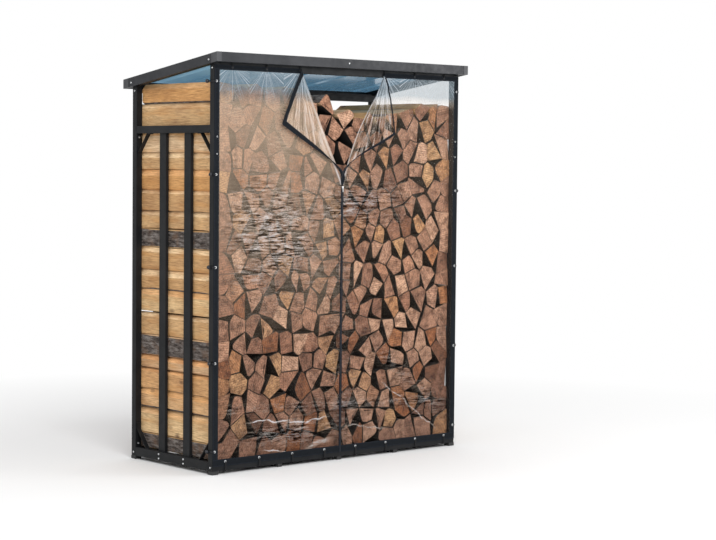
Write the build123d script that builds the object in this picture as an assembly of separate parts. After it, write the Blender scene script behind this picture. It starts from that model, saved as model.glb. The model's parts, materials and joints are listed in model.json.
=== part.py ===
from build123d import *
import os
from math import atan, cos, exp, hypot, pi, sin
from random import Random

# A steel log store in millimetres: X runs along the front, Y from front to back, Z up.
# The origin is on the ground, in the middle of the roof's outline.

# Overall sizes
rack_width = 1470.0
rack_depth = 624.0
front_height = 1850.0
back_height = 1748.0
side_overhang = 20.0
end_overhang = 44.0

# Square tube frame
post_side = 32.0
tube_wall = 1.5
tube_corner = 2.0
foot_height = 16.0
foot_rim = 1.0
foot_chamfer = 2.0
plug_height = 12.0
plug_clearance = 0.2
rail_height = 40.0
bearer_height = 32.0
bearer_count = 3
middle_foot_side = 24.0
mid_rail_height = 34.0
upper_opening = 151.6
beam_height = 40.0
beam_depth = 27.7
cut_overrun = 1.0

# Side slats and corner braces
slat_width = 50.0
slat_thickness = 16.0
slat_pitch = 189.0
brace_width = 20.0
brace_thickness = 3.0
brace_drop = 88.0
brace_run = 74.0
brace_tab = 24.0

# Roof, with every depth below the roof's top measured straight down
trim_height = 42.0
trim_thickness = 1.5
trim_flange = 22.0
trim_lip = 12.0
cap_thickness = 1.2
cap_front_leg = 25.0
cap_side_leg = 40.0
rafter_width = 40.0
roof_rail_width = 20.0
sheet_depth = 14.0
sheet_thickness = 1.0
sheet_edge_clearance = 0.2
seam_count = 3
seam_pitch = 450.0
seam_base = 15.0
seam_crown = 9.0
seam_rise = 10.0
seam_lap = 0.5
lap_clearance = 0.2
swage_base = 34.0
swage_crown = 16.0
swage_rise = 4.0

# Clear front cover
cover_gap = 0.3
film_thickness = 1.2
hem_thickness = 1.5
cover_foot_lap = 20.0
cover_head_lap = 21.0
bottom_hem_height = 32.0
top_hem_height = 22.0
side_hem_width = 26.0
zip_width = 18.0
zip_split_depth = 532.0
zip_split_half_width = 260.0
cover_slit = 0.6
flap_curl = 54.0
flap_droop = 52.0
flap_bow = 37.4
flap_bow_place = 0.471
flap_edge_width = 22.0
flap_gap = 0.5

# Elastic toggles round the front posts
toggle_foot_margin = 67.0
toggle_head_margin = 72.0
left_toggle_places = (0.0, 0.24, 0.5, 0.75, 1.0)
right_toggle_places = (0.0, 0.24, 0.48, 0.705, 1.0)
toggle_reach = (28.0, 14.0, 22.0, 11.0, 39.0)
toggle_inset = 11.0
ball_diameter = 18.0
ball_edge_share = 0.29
elastic_thickness = 3.7
elastic_height = 8.0

# Split firewood, lying from front to back
log_width = 83.0
log_rise = 93.0
log_end_setback = 16.0
log_end_scatter = 12.0
log_clearance = 0.3
log_jitter = 0.29
tier_stagger = 0.25
tier_lift = 0.45
tiers_past_top = 2
neighbour_reach = 4
shortest_split = 9.0
corner_cut_counts = (1, 1, 2)
point_chance = 0.6
least_share_left = 0.7
bark_chance = 0.45
bark_round = 0.46
bark_facets = 4
stack_room_left = 25.0
stack_room_right = 75.0
stack_dip = 90.0
stack_dip_x = 180.0
stack_dip_spread = 240.0
layer_count = 5
wood_seed = 41

os.makedirs("parts", exist_ok=True)

half_width = rack_width / 2
half_depth = rack_depth / 2
inner_x = half_width - post_side
inner_y = half_depth - post_side
roof_x = half_width + side_overhang
roof_y = half_depth + end_overhang
roof_slope = (front_height - back_height) / (2 * roof_y)
roof_angle = atan(roof_slope)
rail_top = foot_height + rail_height
rafter_bottom = trim_height - trim_thickness


def save(shape, name):
    """Writes one sub-part to its own file."""
    export_step(shape, f"parts/{name}.step")


def roof_z(y, below=0.0):
    """Height of the roof's sloping top at y, less a depth below it."""
    return front_height - roof_slope * (y + roof_y) - below


# Heights that follow the roof
front_beam_bottom = roof_z(-half_depth, beam_depth) - beam_height
back_beam_bottom = roof_z(half_depth, beam_depth) - beam_height
mid_rail_top = back_beam_bottom - upper_opening
mid_rail_bottom = mid_rail_top - mid_rail_height
cover_bottom = rail_top - cover_foot_lap
cover_top = front_beam_bottom + cover_head_lap
zip_split_bottom = cover_top - zip_split_depth


def block(low, high):
    """A box between two opposite corners."""
    size = [b - a for a, b in zip(low, high)]
    middle = [(a + b) / 2 for a, b in zip(low, high)]
    return Pos(*middle) * Box(*size)


def prism_x(points, x0, x1):
    """An outline in Y and Z, pushed along X from x0 to x1."""
    face = make_face(Plane.YZ.offset(x0) * Polyline(*points, close=True))
    return extrude(face, amount=x1 - x0, dir=(1, 0, 0))


def prism_y(points, y0, y1):
    """An outline in X and Z, pushed along Y from y0 to y1."""
    face = make_face(Plane.XZ.offset(-y0) * Polyline(*points, close=True))
    return extrude(face, amount=y1 - y0, dir=(0, 1, 0))


def rounded(shape, axis):
    """The shape with its edges along one axis rounded, as the corners of rolled tube are."""
    return fillet(shape.edges().filter_by(axis), tube_corner)


def tube(low, high, axis):
    """A square tube between two corners, open at both ends of its axis."""
    run = (Axis.X, Axis.Y, Axis.Z).index(axis)
    inner_low = [v if i == run else v + tube_wall for i, v in enumerate(low)]
    inner_high = [v if i == run else v - tube_wall for i, v in enumerate(high)]
    return rounded(block(low, high), axis) - block(inner_low, inner_high)


def roof_bar(x0, x1, y0, y1, top, bottom):
    """A bar that follows the roof's slope, between two depths below its top."""
    underside = [(y0, roof_z(y0, bottom)), (y1, roof_z(y1, bottom))]
    upper_side = [(y1, roof_z(y1, top)), (y0, roof_z(y0, top))]
    return prism_x(underside + upper_side, x0, x1)


# Posts, cut to the slope of the roof at their tops
def post(side, face):
    x0, x1 = sorted((side * half_width, side * inner_x))
    y0, y1 = sorted((face * half_depth, face * inner_y))

    def shaft(inset, overrun):
        ends = (y0 + inset, y1 - inset)
        low = foot_height - overrun
        high = [(y, roof_z(y, rafter_bottom) + overrun) for y in reversed(ends)]
        return prism_x([(y, low) for y in ends] + high, x0 + inset, x1 - inset)

    return rounded(shaft(0.0, 0.0), Axis.Z) - shaft(tube_wall, cut_overrun)


for side_name, side in (("left", -1), ("right", 1)):
    for face_name, face in (("front", -1), ("back", 1)):
        save(post(side, face), f"{face_name}_{side_name}_post")


# Feet: a cap with a plug in each post, and a plain block under the rails
def corner_foot(side, face):
    middle_x = side * (half_width - post_side / 2)
    middle_y = face * (half_depth - post_side / 2)
    cap_side = post_side + 2 * foot_rim
    plug_side = post_side - 2 * tube_wall - 2 * plug_clearance
    cap = Pos(middle_x, middle_y, foot_height / 2) * Box(cap_side, cap_side, foot_height)
    cap = chamfer(cap.edges().group_by(Axis.Z)[0], foot_chamfer)
    plug = Pos(middle_x, middle_y, foot_height + plug_height / 2) * Box(plug_side, plug_side, plug_height)
    return cap + plug


bearer_pitch = 2 * inner_x / (bearer_count + 1)
bearer_xs = [bearer_pitch * (i - (bearer_count - 1) / 2) for i in range(bearer_count)]


def middle_foot(x, face):
    middle_y = face * (half_depth - post_side / 2)
    foot = Pos(x, middle_y, foot_height / 2) * Box(middle_foot_side, middle_foot_side, foot_height)
    return chamfer(foot.edges().group_by(Axis.Z)[0], foot_chamfer)


save(Compound([corner_foot(side, face) for side in (-1, 1) for face in (-1, 1)]), "corner_feet")
save(Compound([middle_foot(x, face) for x in bearer_xs for face in (-1, 1)]), "middle_feet")

# Bottom rails, floor bearers, mid rails and top beams
for face_name, face, beam_bottom in (("front", -1, front_beam_bottom), ("back", 1, back_beam_bottom)):
    y0, y1 = sorted((face * half_depth, face * inner_y))
    save(tube((-inner_x, y0, foot_height), (inner_x, y1, rail_top), Axis.X), f"{face_name}_bottom_rail")
    beam_top = beam_bottom + beam_height
    save(tube((-inner_x, y0, beam_bottom), (inner_x, y1, beam_top), Axis.X), f"{face_name}_top_beam")


def floor_bearer(x):
    low = (x - post_side / 2, -inner_y, rail_top - bearer_height)
    return tube(low, (x + post_side / 2, inner_y, rail_top), Axis.Y)


save(Compound([floor_bearer(x) for x in bearer_xs]), "floor_bearers")


# Each side: bottom rail, mid rail, slats between them and four corner braces
def thicken(points, width):
    """The outline of a bent strip, with its far face mitred one width to the left of the points."""
    far = []
    for i, (y, z) in enumerate(points):
        near = points[max(i - 1, 0) : i + 2]
        normals = []
        for (ya, za), (yb, zb) in zip(near, near[1:]):
            length = hypot(yb - ya, zb - za)
            normals.append((-(zb - za) / length, (yb - ya) / length))
        ny = sum(n[0] for n in normals)
        nz = sum(n[1] for n in normals)
        reach = width * len(normals) / (ny * ny + nz * nz)
        far.append((y + ny * reach, z + nz * reach))
    return list(points) + far[::-1]


def brace(side, face, rail_z, up):
    """A bent strip from a post down or up to a rail, with a flat tab at each end."""
    path = [
        (inner_y, brace_drop + brace_tab),
        (inner_y, brace_drop),
        (inner_y - brace_run, 0.0),
        (inner_y - brace_run - brace_tab, 0.0),
    ]
    outline = [(face * y, rail_z + up * z) for y, z in thicken(path, -brace_thickness)]
    middle = side * (half_width - post_side / 2)
    return prism_x(outline, middle - brace_width / 2, middle + brace_width / 2)


def slat(side, y):
    x0, x1 = sorted((side * inner_x, side * (inner_x + slat_thickness)))
    low = (x0, y - slat_width / 2, rail_top)
    return tube(low, (x1, y + slat_width / 2, mid_rail_bottom), Axis.Z)


for side_name, side in (("left", -1), ("right", 1)):
    x0, x1 = sorted((side * half_width, side * inner_x))
    bottom = tube((x0, -inner_y, foot_height), (x1, inner_y, rail_top), Axis.Y)
    middle = tube((x0, -inner_y, mid_rail_bottom), (x1, inner_y, mid_rail_top), Axis.Y)
    save(bottom, f"{side_name}_bottom_rail")
    save(middle, f"{side_name}_mid_rail")
    save(Compound([slat(side, y) for y in (-slat_pitch / 2, slat_pitch / 2)]), f"{side_name}_slats")
    lower = [brace(side, face, rail_top, 1) for face in (-1, 1)]
    upper = [brace(side, face, mid_rail_bottom, -1) for face in (-1, 1)]
    save(Compound(lower + upper), f"{side_name}_corner_braces")

# Roof frame: a rafter over each pair of posts, and a rail along the front and the back
trim_x = roof_x - trim_thickness
trim_y = roof_y - trim_thickness
hollow_top = sheet_depth + tube_wall
hollow_bottom = rafter_bottom - tube_wall
for side_name, side in (("left", -1), ("right", 1)):
    x0, x1 = sorted((side * trim_x, side * (trim_x - rafter_width)))
    rafter = roof_bar(x0, x1, -trim_y, trim_y, sheet_depth, rafter_bottom)
    hollow = roof_bar(x0 + tube_wall, x1 - tube_wall, -roof_y, roof_y, hollow_top, hollow_bottom)
    save(rafter - hollow, f"{side_name}_rafter")
for face_name, face in (("front", -1), ("back", 1)):
    y0, y1 = sorted((face * trim_y, face * (trim_y - roof_rail_width)))
    rail_x = trim_x - rafter_width
    rail = roof_bar(-rail_x, rail_x, y0, y1, sheet_depth, rafter_bottom)
    rail -= roof_bar(-rail_x, rail_x, y0 + tube_wall, y1 - tube_wall, hollow_top, hollow_bottom)
    save(rail, f"{face_name}_roof_rail")

# Roof trims: folded sheet with a flange over the roof and a lip under it
for face_name, face in (("front", -1), ("back", 1)):
    y_out = face * roof_y
    web = roof_bar(-roof_x, roof_x, *sorted((y_out, face * trim_y)), 0.0, trim_height)
    flange_y = sorted((y_out, face * (roof_y - trim_flange)))
    flange = roof_bar(-trim_x, trim_x, *flange_y, 0.0, trim_thickness)
    lip_y = sorted((y_out, face * (roof_y - trim_lip)))
    lip = roof_bar(-trim_x, trim_x, *lip_y, rafter_bottom, trim_height)
    save(web + flange + lip, f"{face_name}_roof_trim")
for side_name, side in (("left", -1), ("right", 1)):
    x_out = side * roof_x
    web = roof_bar(*sorted((x_out, side * trim_x)), -trim_y, trim_y, 0.0, trim_height)
    flange_x = sorted((x_out, side * (roof_x - trim_flange)))
    flange_end = roof_y - trim_flange
    flange = roof_bar(*flange_x, -flange_end, flange_end, 0.0, trim_thickness)
    lip_x = sorted((x_out, side * (roof_x - trim_lip)))
    lip_end = roof_y - trim_lip
    lip = roof_bar(*lip_x, -lip_end, lip_end, rafter_bottom, trim_height)
    save(web + flange + lip, f"{side_name}_roof_trim")


def corner_cap(side, face):
    """An angle plate round one corner of the roof trims."""
    x_out = side * (roof_x + cap_thickness)
    y_out = face * (roof_y + cap_thickness)
    front_x = sorted((x_out, side * (roof_x - cap_front_leg)))
    front_y = sorted((y_out, face * roof_y))
    side_y = sorted((y_out, face * (roof_y - cap_side_leg)))
    front_leg = roof_bar(*front_x, *front_y, 0.0, trim_height)
    side_leg = roof_bar(*sorted((x_out, side * roof_x)), *side_y, 0.0, trim_height)
    return front_leg + side_leg


save(Compound([corner_cap(side, face) for side in (-1, 1) for face in (-1, 1)]), "roof_corner_caps")


# Roof sheets: flat pans with a low swage in each, lapped over raised seams
seam_xs = [seam_pitch * (i - (seam_count - 1) / 2) for i in range(seam_count)]


def sheet_profile(x0, x1):
    """The underside of one sheet across the roof, as distances along X and heights above the pan."""
    lift = sheet_thickness + lap_clearance
    flank = (seam_base - seam_crown) / seam_rise
    lap_rise = seam_rise * (1 - seam_lap)
    line = []
    if x0 in seam_xs:
        line += [(x0 - seam_crown - flank * (seam_rise - lap_rise), lap_rise + lift)]
        line += [(x0 - seam_crown, seam_rise + lift), (x0 + seam_crown, seam_rise + lift)]
        line += [(x0 + seam_crown + flank * (seam_rise + lift), 0.0)]
    else:
        line += [(x0, 0.0)]
    middle = (x0 + x1) / 2
    line += [(middle - swage_base, 0.0), (middle - swage_crown, swage_rise)]
    line += [(middle + swage_crown, swage_rise), (middle + swage_base, 0.0)]
    if x1 in seam_xs:
        line += [(x1 - seam_base, 0.0), (x1 - seam_crown, seam_rise), (x1 + seam_crown, seam_rise)]
        line += [(x1 + seam_crown + flank * (seam_rise - lap_rise), lap_rise)]
    else:
        line += [(x1, 0.0)]
    return line


def roof_sheet(x0, x1):
    line = sheet_profile(x0, x1)
    edge_y = trim_y - sheet_edge_clearance
    base = roof_z(-edge_y, sheet_depth)
    outline = [(x, base + z) for x, z in line]
    outline += [(x, base + z + sheet_thickness) for x, z in reversed(line)]
    face = make_face(Plane.XZ.offset(edge_y) * Polyline(*outline, close=True))
    length = 2 * edge_y / cos(roof_angle)
    return extrude(face, amount=length, dir=(0, cos(roof_angle), -sin(roof_angle)))


sheet_edge = trim_x - sheet_edge_clearance
sheet_stops = [-sheet_edge, *seam_xs, sheet_edge]
for i, (x0, x1) in enumerate(zip(sheet_stops, sheet_stops[1:])):
    save(roof_sheet(x0, x1), f"roof_sheet_{i + 1}")

# Front cover: two clear panels, split by a zip that is open at the top
film_back = -half_depth - cover_gap
film_front = film_back - film_thickness
hem_front = film_front - hem_thickness


def mirrored(points, side):
    return [(side * x, z) for x, z in points]


def fold_x(z):
    """Distance from the middle to the fold of a flap at height z."""
    share = (z - zip_split_bottom) / (cover_top - zip_split_bottom)
    return max(cover_slit, share * zip_split_half_width)


def cover_panel(side):
    outline = [
        (cover_slit, cover_bottom),
        (half_width, cover_bottom),
        (half_width, cover_top),
        (fold_x(cover_top), cover_top),
        (cover_slit, zip_split_bottom),
    ]
    return prism_y(mirrored(outline, side), film_front, film_back)


def cover_hems(side):
    """The bands sewn round the foot, the side and the top of one panel."""
    zip_edge = zip_width / 2 + cover_slit
    top_hem_bottom = cover_top - top_hem_height
    bottom_hem_top = cover_bottom + bottom_hem_height
    side_hem_edge = half_width - side_hem_width
    outline = [
        (zip_edge, cover_bottom),
        (half_width, cover_bottom),
        (half_width, cover_top),
        (fold_x(cover_top), cover_top),
        (fold_x(top_hem_bottom), top_hem_bottom),
        (side_hem_edge, top_hem_bottom),
        (side_hem_edge, bottom_hem_top),
        (zip_edge, bottom_hem_top),
    ]
    return prism_y(mirrored(outline, side), hem_front, film_front)


flap_back = hem_front - flap_gap
flap_front = flap_back - film_thickness
flap_edge_front = flap_front - hem_thickness
flap_root = (fold_x(cover_top), cover_top)
flap_bottom = (cover_slit, zip_split_bottom)
# The panel's cut corner, mirrored across the fold and then drooped and curled by the film's own weight
turn = 2 * atan(zip_split_half_width / zip_split_depth)
flap_tip = (
    zip_split_depth * sin(turn) - flap_curl,
    zip_split_bottom + zip_split_depth * cos(turn) - flap_droop,
)
flap_run = (flap_tip[0] - flap_bottom[0], flap_tip[1] - flap_bottom[1])
bow = flap_bow / hypot(*flap_run)
flap_sag = (
    flap_bottom[0] + flap_run[0] * flap_bow_place - flap_run[1] * bow,
    flap_bottom[1] + flap_run[1] * flap_bow_place + flap_run[0] * bow,
)


def flap(side):
    """The corner of a panel, folded out over its front."""
    return prism_y(mirrored([flap_root, flap_tip, flap_sag, flap_bottom], side), flap_front, flap_back)


def flap_edges(side):
    """The top hem and the zip tape along the two loose edges of a flap."""
    band = thicken([flap_root, flap_tip, flap_sag], flap_edge_width)
    return prism_y(mirrored(band, side), flap_edge_front, flap_front)


for side_name, side in (("left", -1), ("right", 1)):
    save(cover_panel(side), f"cover_{side_name}_panel")
    save(cover_hems(side), f"cover_{side_name}_hems")
    save(flap(side), f"cover_{side_name}_flap")
save(Compound([flap_edges(side) for side in (-1, 1)]), "cover_flap_edges")
zip_low = (-zip_width / 2, hem_front, cover_bottom)
save(block(zip_low, (zip_width / 2, film_front, zip_split_bottom)), "cover_zip")


# Toggles: an elastic loop from the side hem round the post, with a ball on its end
def moulded_ball(diameter):
    """A ball with few faces: a cube with its edges and corners taken off."""
    cube = Box(diameter, diameter, diameter)
    return chamfer(cube.edges(), diameter * ball_edge_share)


def toggle(side, z, reach):
    gap = cover_gap
    front = hem_front - gap - elastic_thickness
    outer = half_width + gap + elastic_thickness
    ball_y = -half_depth + reach
    z0, z1 = z - elastic_height / 2, z + elastic_height / 2
    x0, x1 = sorted((side * (half_width - toggle_inset), side * outer))
    front_leg = block((x0, front, z0), (x1, hem_front - gap, z1))
    x0, x1 = sorted((side * (half_width + gap), side * outer))
    side_leg = block((x0, front, z0), (x1, ball_y, z1))
    ball_x = side * (half_width + 2 * gap + ball_diameter / 2)
    return front_leg + side_leg + Pos(ball_x, ball_y, z) * moulded_ball(ball_diameter)


toggle_low = cover_bottom + toggle_foot_margin
toggle_high = cover_top - toggle_head_margin
for side_name, side, places in (("left", -1, left_toggle_places), ("right", 1, right_toggle_places)):
    heights = [toggle_low + (toggle_high - toggle_low) * place for place in places]
    loops = [toggle(side, z, reach) for z, reach in zip(heights, toggle_reach)]
    save(Compound(loops), f"{side_name}_toggles")

# Firewood: the stack's section is shared out in cells, and each cell is trimmed to a split log
stack_x = inner_x - log_clearance
stack_floor = rail_top + log_clearance
stack_ceiling = min(front_beam_bottom, roof_z(inner_y, sheet_depth)) - log_clearance
stack_top_left = stack_ceiling - stack_room_left
stack_top_right = stack_ceiling - stack_room_right
tier_count = round((stack_ceiling - stack_floor) / log_rise)


def stack_top(x):
    """Height of the stack's uneven top at x."""
    share = (x + inner_x) / (2 * inner_x)
    dip = stack_dip * exp(-(((x - stack_dip_x) / stack_dip_spread) ** 2))
    return stack_top_left + (stack_top_right - stack_top_left) * share - dip


def clip(cell, px, pz, nx, nz):
    """The part of a convex cell on the near side of the line through p with normal n."""
    kept = []
    for (xa, za), (xb, zb) in zip(cell, cell[1:] + cell[:1]):
        a = (xa - px) * nx + (za - pz) * nz
        b = (xb - px) * nx + (zb - pz) * nz
        if a <= 0:
            kept.append((xa, za))
        if (a < 0 < b) or (b < 0 < a):
            t = a / (a - b)
            kept.append((xa + (xb - xa) * t, za + (zb - za) * t))
    return kept


def log_cell(site, sites):
    """The room round one site, taller than wide and bounded half-way to each of its neighbours."""
    cell = [(-stack_x, stack_floor), (stack_x, stack_floor)]
    cell += [(stack_x, stack_ceiling), (-stack_x, stack_ceiling)]
    for other in sites:
        dx, dz = other[0] - site[0], other[1] - site[1]
        if other is site or hypot(dx, dz) > neighbour_reach * log_width:
            continue
        nx, nz = dx, dz * (log_width / log_rise) ** 2
        back_off = log_clearance / 2 / hypot(nx, nz)
        cell = clip(cell, site[0] + dx / 2 - nx * back_off, site[1] + dz / 2 - nz * back_off, nx, nz)
    return cell


def area(outline):
    return sum(xa * zb - xb * za for (xa, za), (xb, zb) in zip(outline, outline[1:] + outline[:1])) / 2


def loose_corners(outline):
    """The corners that don't lie against a side of the stack, from the lowest up."""
    inside = [i for i, (x, _) in enumerate(outline) if abs(x) < stack_x]
    return sorted(inside, key=lambda i: outline[i][1])


def split_log(cell, wood):
    """A log's outline in its cell: corners split off, often to a point below, and at times a bark side."""
    sides = zip(cell, cell[1:] + cell[:1])
    outline = [p for p, q in sides if hypot(q[0] - p[0], q[1] - p[1]) > shortest_split]
    for _ in range(wood.choice(corner_cut_counts)):
        loose = loose_corners(outline)
        corner = loose[:2][-1] if wood.random() < point_chance else wood.choice(loose)
        cut = outline[:corner] + outline[corner + 1 :]
        if len(cut) >= 3 and area(cut) > least_share_left * area(outline):
            outline = cut
    if wood.random() < bark_chance:
        outline = round_corner(outline, wood.choice(loose_corners(outline)))
    return outline


def round_corner(outline, corner):
    """Turns one corner into the round bark side of a log."""
    xa, za = outline[corner - 1]
    x, z = outline[corner]
    xb, zb = outline[(corner + 1) % len(outline)]
    start = (x + (xa - x) * bark_round, z + (za - z) * bark_round)
    end = (x + (xb - x) * bark_round, z + (zb - z) * bark_round)
    arc = []
    for i in range(bark_facets + 1):
        t = i / bark_facets
        u = 1 - t
        arc.append(tuple(u * u * s + 2 * u * t * c + t * t * e for s, c, e in zip(start, (x, z), end)))
    return outline[:corner] + arc + outline[corner + 1 :]


def log_sites(wood):
    """Scattered points, staggered but for those at the sides, in tiers that follow the stack's top."""
    columns = round(2 * stack_x / log_width)
    pitch = 2 * stack_x / columns
    sites = []
    for tier in range(tier_count + tiers_past_top):
        stagger = tier_stagger if tier % 2 else -tier_stagger
        for column in range(columns):
            shift = stagger if 0 < column < columns - 1 else 0.0
            x = -stack_x + (column + 0.5 + shift + wood.uniform(-log_jitter, log_jitter)) * pitch
            rise = (stack_top(x) - stack_floor) / tier_count
            z = stack_floor + (tier + tier_lift + wood.uniform(-log_jitter, log_jitter)) * rise
            sites.append((x, z, tier))
    return sites


def firewood(outline, wood):
    """One log, short of the back beam where it lies as high as that."""
    front = -half_depth + log_end_setback + wood.uniform(0.0, log_end_scatter)
    back = half_depth - wood.uniform(0.0, log_end_scatter)
    if max(z for _, z in outline) > back_beam_bottom - 2 * log_clearance:
        back = min(back, inner_y - log_clearance)
    return prism_y(outline, front, back)


wood = Random(wood_seed)
sites = log_sites(wood)
layers = {}
for site in sites:
    if site[2] < tier_count:
        outline = split_log(log_cell(site, sites), wood)
        layers.setdefault(site[2] * layer_count // tier_count, []).append(firewood(outline, wood))
for layer, logs in layers.items():
    save(Compound(logs), f"firewood_layer_{layer + 1}")
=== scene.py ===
import json
from math import cos, exp, pi, radians, sin
from random import Random

import bmesh
import bpy
from mathutils import Matrix, Vector, noise


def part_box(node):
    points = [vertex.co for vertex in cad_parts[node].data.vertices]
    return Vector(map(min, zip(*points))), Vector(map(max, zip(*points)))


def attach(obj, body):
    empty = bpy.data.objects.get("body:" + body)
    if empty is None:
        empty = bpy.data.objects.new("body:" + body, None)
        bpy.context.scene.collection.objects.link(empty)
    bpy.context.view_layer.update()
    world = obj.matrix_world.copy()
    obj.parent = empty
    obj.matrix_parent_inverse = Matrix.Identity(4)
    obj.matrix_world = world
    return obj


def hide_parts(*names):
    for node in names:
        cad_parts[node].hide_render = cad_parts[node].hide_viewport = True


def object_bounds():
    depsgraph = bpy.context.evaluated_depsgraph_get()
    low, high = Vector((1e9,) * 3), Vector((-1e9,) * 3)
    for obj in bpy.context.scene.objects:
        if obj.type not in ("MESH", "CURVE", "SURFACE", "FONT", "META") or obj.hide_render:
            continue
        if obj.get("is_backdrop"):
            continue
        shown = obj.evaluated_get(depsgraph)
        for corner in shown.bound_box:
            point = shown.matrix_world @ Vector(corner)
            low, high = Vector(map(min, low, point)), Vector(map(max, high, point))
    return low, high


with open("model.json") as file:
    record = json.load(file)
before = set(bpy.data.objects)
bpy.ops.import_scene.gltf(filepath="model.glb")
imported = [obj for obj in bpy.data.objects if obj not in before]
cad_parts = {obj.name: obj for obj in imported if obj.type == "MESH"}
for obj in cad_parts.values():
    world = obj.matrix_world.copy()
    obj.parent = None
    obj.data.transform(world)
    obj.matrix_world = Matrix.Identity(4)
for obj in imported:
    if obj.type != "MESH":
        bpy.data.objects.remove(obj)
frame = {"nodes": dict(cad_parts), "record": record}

cad_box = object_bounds()

# Posts, rails, beams, bearers, slats and braces. Square tube and flat strip of mild steel with an
# anthracite powder coat, cut to length and screwed together at the corners. The coat has a faint
# orange peel and a little dust.
slot_of = {p["node"]: p["material_slot"] for p in frame["record"]["subparts"]}


def finish(name, colour, roughness, metal=0.0):
    """A new material: its node tree and its Principled shader."""
    material = bpy.data.materials.new(name)
    material.use_nodes = True
    tree = material.node_tree
    shader = tree.nodes["Principled BSDF"]
    shader.inputs["Base Color"].default_value = (*colour, 1.0)
    shader.inputs["Roughness"].default_value = roughness
    shader.inputs["Metallic"].default_value = metal
    return material, tree, shader


def node(tree, kind, inputs=None, **settings):
    """Adds a node, sets it up, and links or fills its inputs."""
    made = tree.nodes.new("ShaderNode" + kind)
    for key, value in settings.items():
        setattr(made, key, value)
    for key, value in (inputs or {}).items():
        if isinstance(value, bpy.types.NodeSocket):
            tree.links.new(value, made.inputs[key])
        else:
            made.inputs[key].default_value = value
    return made


def place_of(tree, stretch=(1.0, 1.0, 1.0)):
    """The point on the object, in metres, with its axes stretched for the pattern."""
    point = node(tree, "TexCoord").outputs["Object"]
    return node(tree, "Mapping", {"Vector": point, "Scale": stretch}).outputs["Vector"]


def grain(tree, vector, scale, detail=3.0, rough=0.55):
    """Soft noise between 0 and 1, scale being its lumps per metre."""
    inputs = {"Vector": vector, "Scale": scale, "Detail": detail, "Roughness": rough}
    return node(tree, "TexNoise", inputs).outputs["Fac"]


def ramp(tree, factor, stops, interpolation="LINEAR"):
    """A colour from a factor, by stops of (place, colour)."""
    made = node(tree, "ValToRGB", {"Fac": factor})
    made.color_ramp.interpolation = interpolation
    points = made.color_ramp.elements
    while len(points) < len(stops):
        points.new(1.0)
    for point, (place, colour) in zip(points, stops):
        point.position = place
        point.color = (*colour, 1.0) if len(colour) == 3 else colour
    return made.outputs["Color"]


def spread(tree, value, low, high, to_low=0.0, to_high=1.0):
    """A value taken from one range to another, and held there."""
    inputs = {"Value": value, 1: low, 2: high, 3: to_low, 4: to_high}
    return node(tree, "MapRange", inputs).outputs["Result"]


def blend(tree, kind, factor, a, b):
    """Two colours mixed, multiplied or added."""
    made = node(tree, "Mix", data_type="RGBA", blend_type=kind)
    for key, value in (("Factor_Float", factor), ("A_Color", a), ("B_Color", b)):
        socket = next(s for s in made.inputs if s.identifier == key)
        if isinstance(value, bpy.types.NodeSocket):
            tree.links.new(value, socket)
        else:
            socket.default_value = value if key == "Factor_Float" else (*value, 1.0)
    return next(s for s in made.outputs if s.identifier == "Result_Color")


def bump(tree, shader, height, depth, strength=1.0):
    """Raises the surface by a height between 0 and 1, to a depth in metres."""
    inputs = {"Height": height, "Distance": depth, "Strength": strength}
    tree.links.new(node(tree, "Bump", inputs).outputs["Normal"], shader.inputs["Normal"])


def powder_coat(name, colour, dusty, roughness, shine):
    """Satin powder coat, paler where dust lies, with a faint orange peel."""
    material, tree, shader = finish(name, colour, roughness)
    shader.inputs["Specular IOR Level"].default_value = shine
    point = place_of(tree)
    dust = spread(tree, grain(tree, point, 7.0, 4.0), 0.42, 0.75)
    coat = blend(tree, "MIX", dust, colour, dusty)
    tree.links.new(coat, shader.inputs["Base Color"])
    mottle = spread(tree, grain(tree, point, 40.0), 0.3, 0.7, roughness - 0.07, roughness + 0.1)
    tree.links.new(mottle, shader.inputs["Roughness"])
    bump(tree, shader, grain(tree, point, 650.0, 2.0), 0.00012, 0.5)
    return material


def coat(part, material):
    """Gives a CAD node its material."""
    part.data.materials.clear()
    part.data.materials.append(material)


def coat_nodes(slot, material):
    """Gives every CAD node of one slot its material."""
    for name, part in frame["nodes"].items():
        if slot_of[name] == slot:
            coat(part, material)


anthracite, dusty_anthracite = (0.0085, 0.0093, 0.0105), (0.016, 0.0165, 0.0175)
frame_coat = powder_coat("frame_coat", anthracite, dusty_anthracite, 0.42, 0.15)
coat_nodes("coated_frame", frame_coat)

# Foot caps. Black moulded plastic, pushed into the ends of the posts and under the rails, scuffed by
# the ground.
black, scuffed_black = (0.012, 0.012, 0.013), (0.045, 0.043, 0.04)
foot_plastic, tree, shader = finish("foot_plastic", black, 0.6)
scuff = spread(tree, grain(tree, place_of(tree, (1.0, 1.0, 3.0)), 160.0, 5.0), 0.5, 0.8)
tree.links.new(blend(tree, "MIX", scuff, black, scuffed_black), shader.inputs["Base Color"])
bump(tree, shader, scuff, 0.0002, 0.4)
coat_nodes("foot_cap", foot_plastic)

# Roof trims and corner caps. Folded steel sheet with the same coat, its colour painted a shade lighter
# as painted light because it faces the sky, screwed to the rafters and roof rails. The small caps close
# the corners between the trims.
sky_lit_trim_coat = powder_coat("sky_lit_trim_coat", (0.021, 0.0225, 0.026), (0.038, 0.039, 0.044), 0.38, 0.22)
coat_nodes("roof_trim", sky_lit_trim_coat)
cap_coat = powder_coat("cap_coat", (0.045, 0.047, 0.052), (0.075, 0.077, 0.083), 0.36, 0.3)
coat(frame["nodes"]["roof_corner_caps"], cap_coat)
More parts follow.
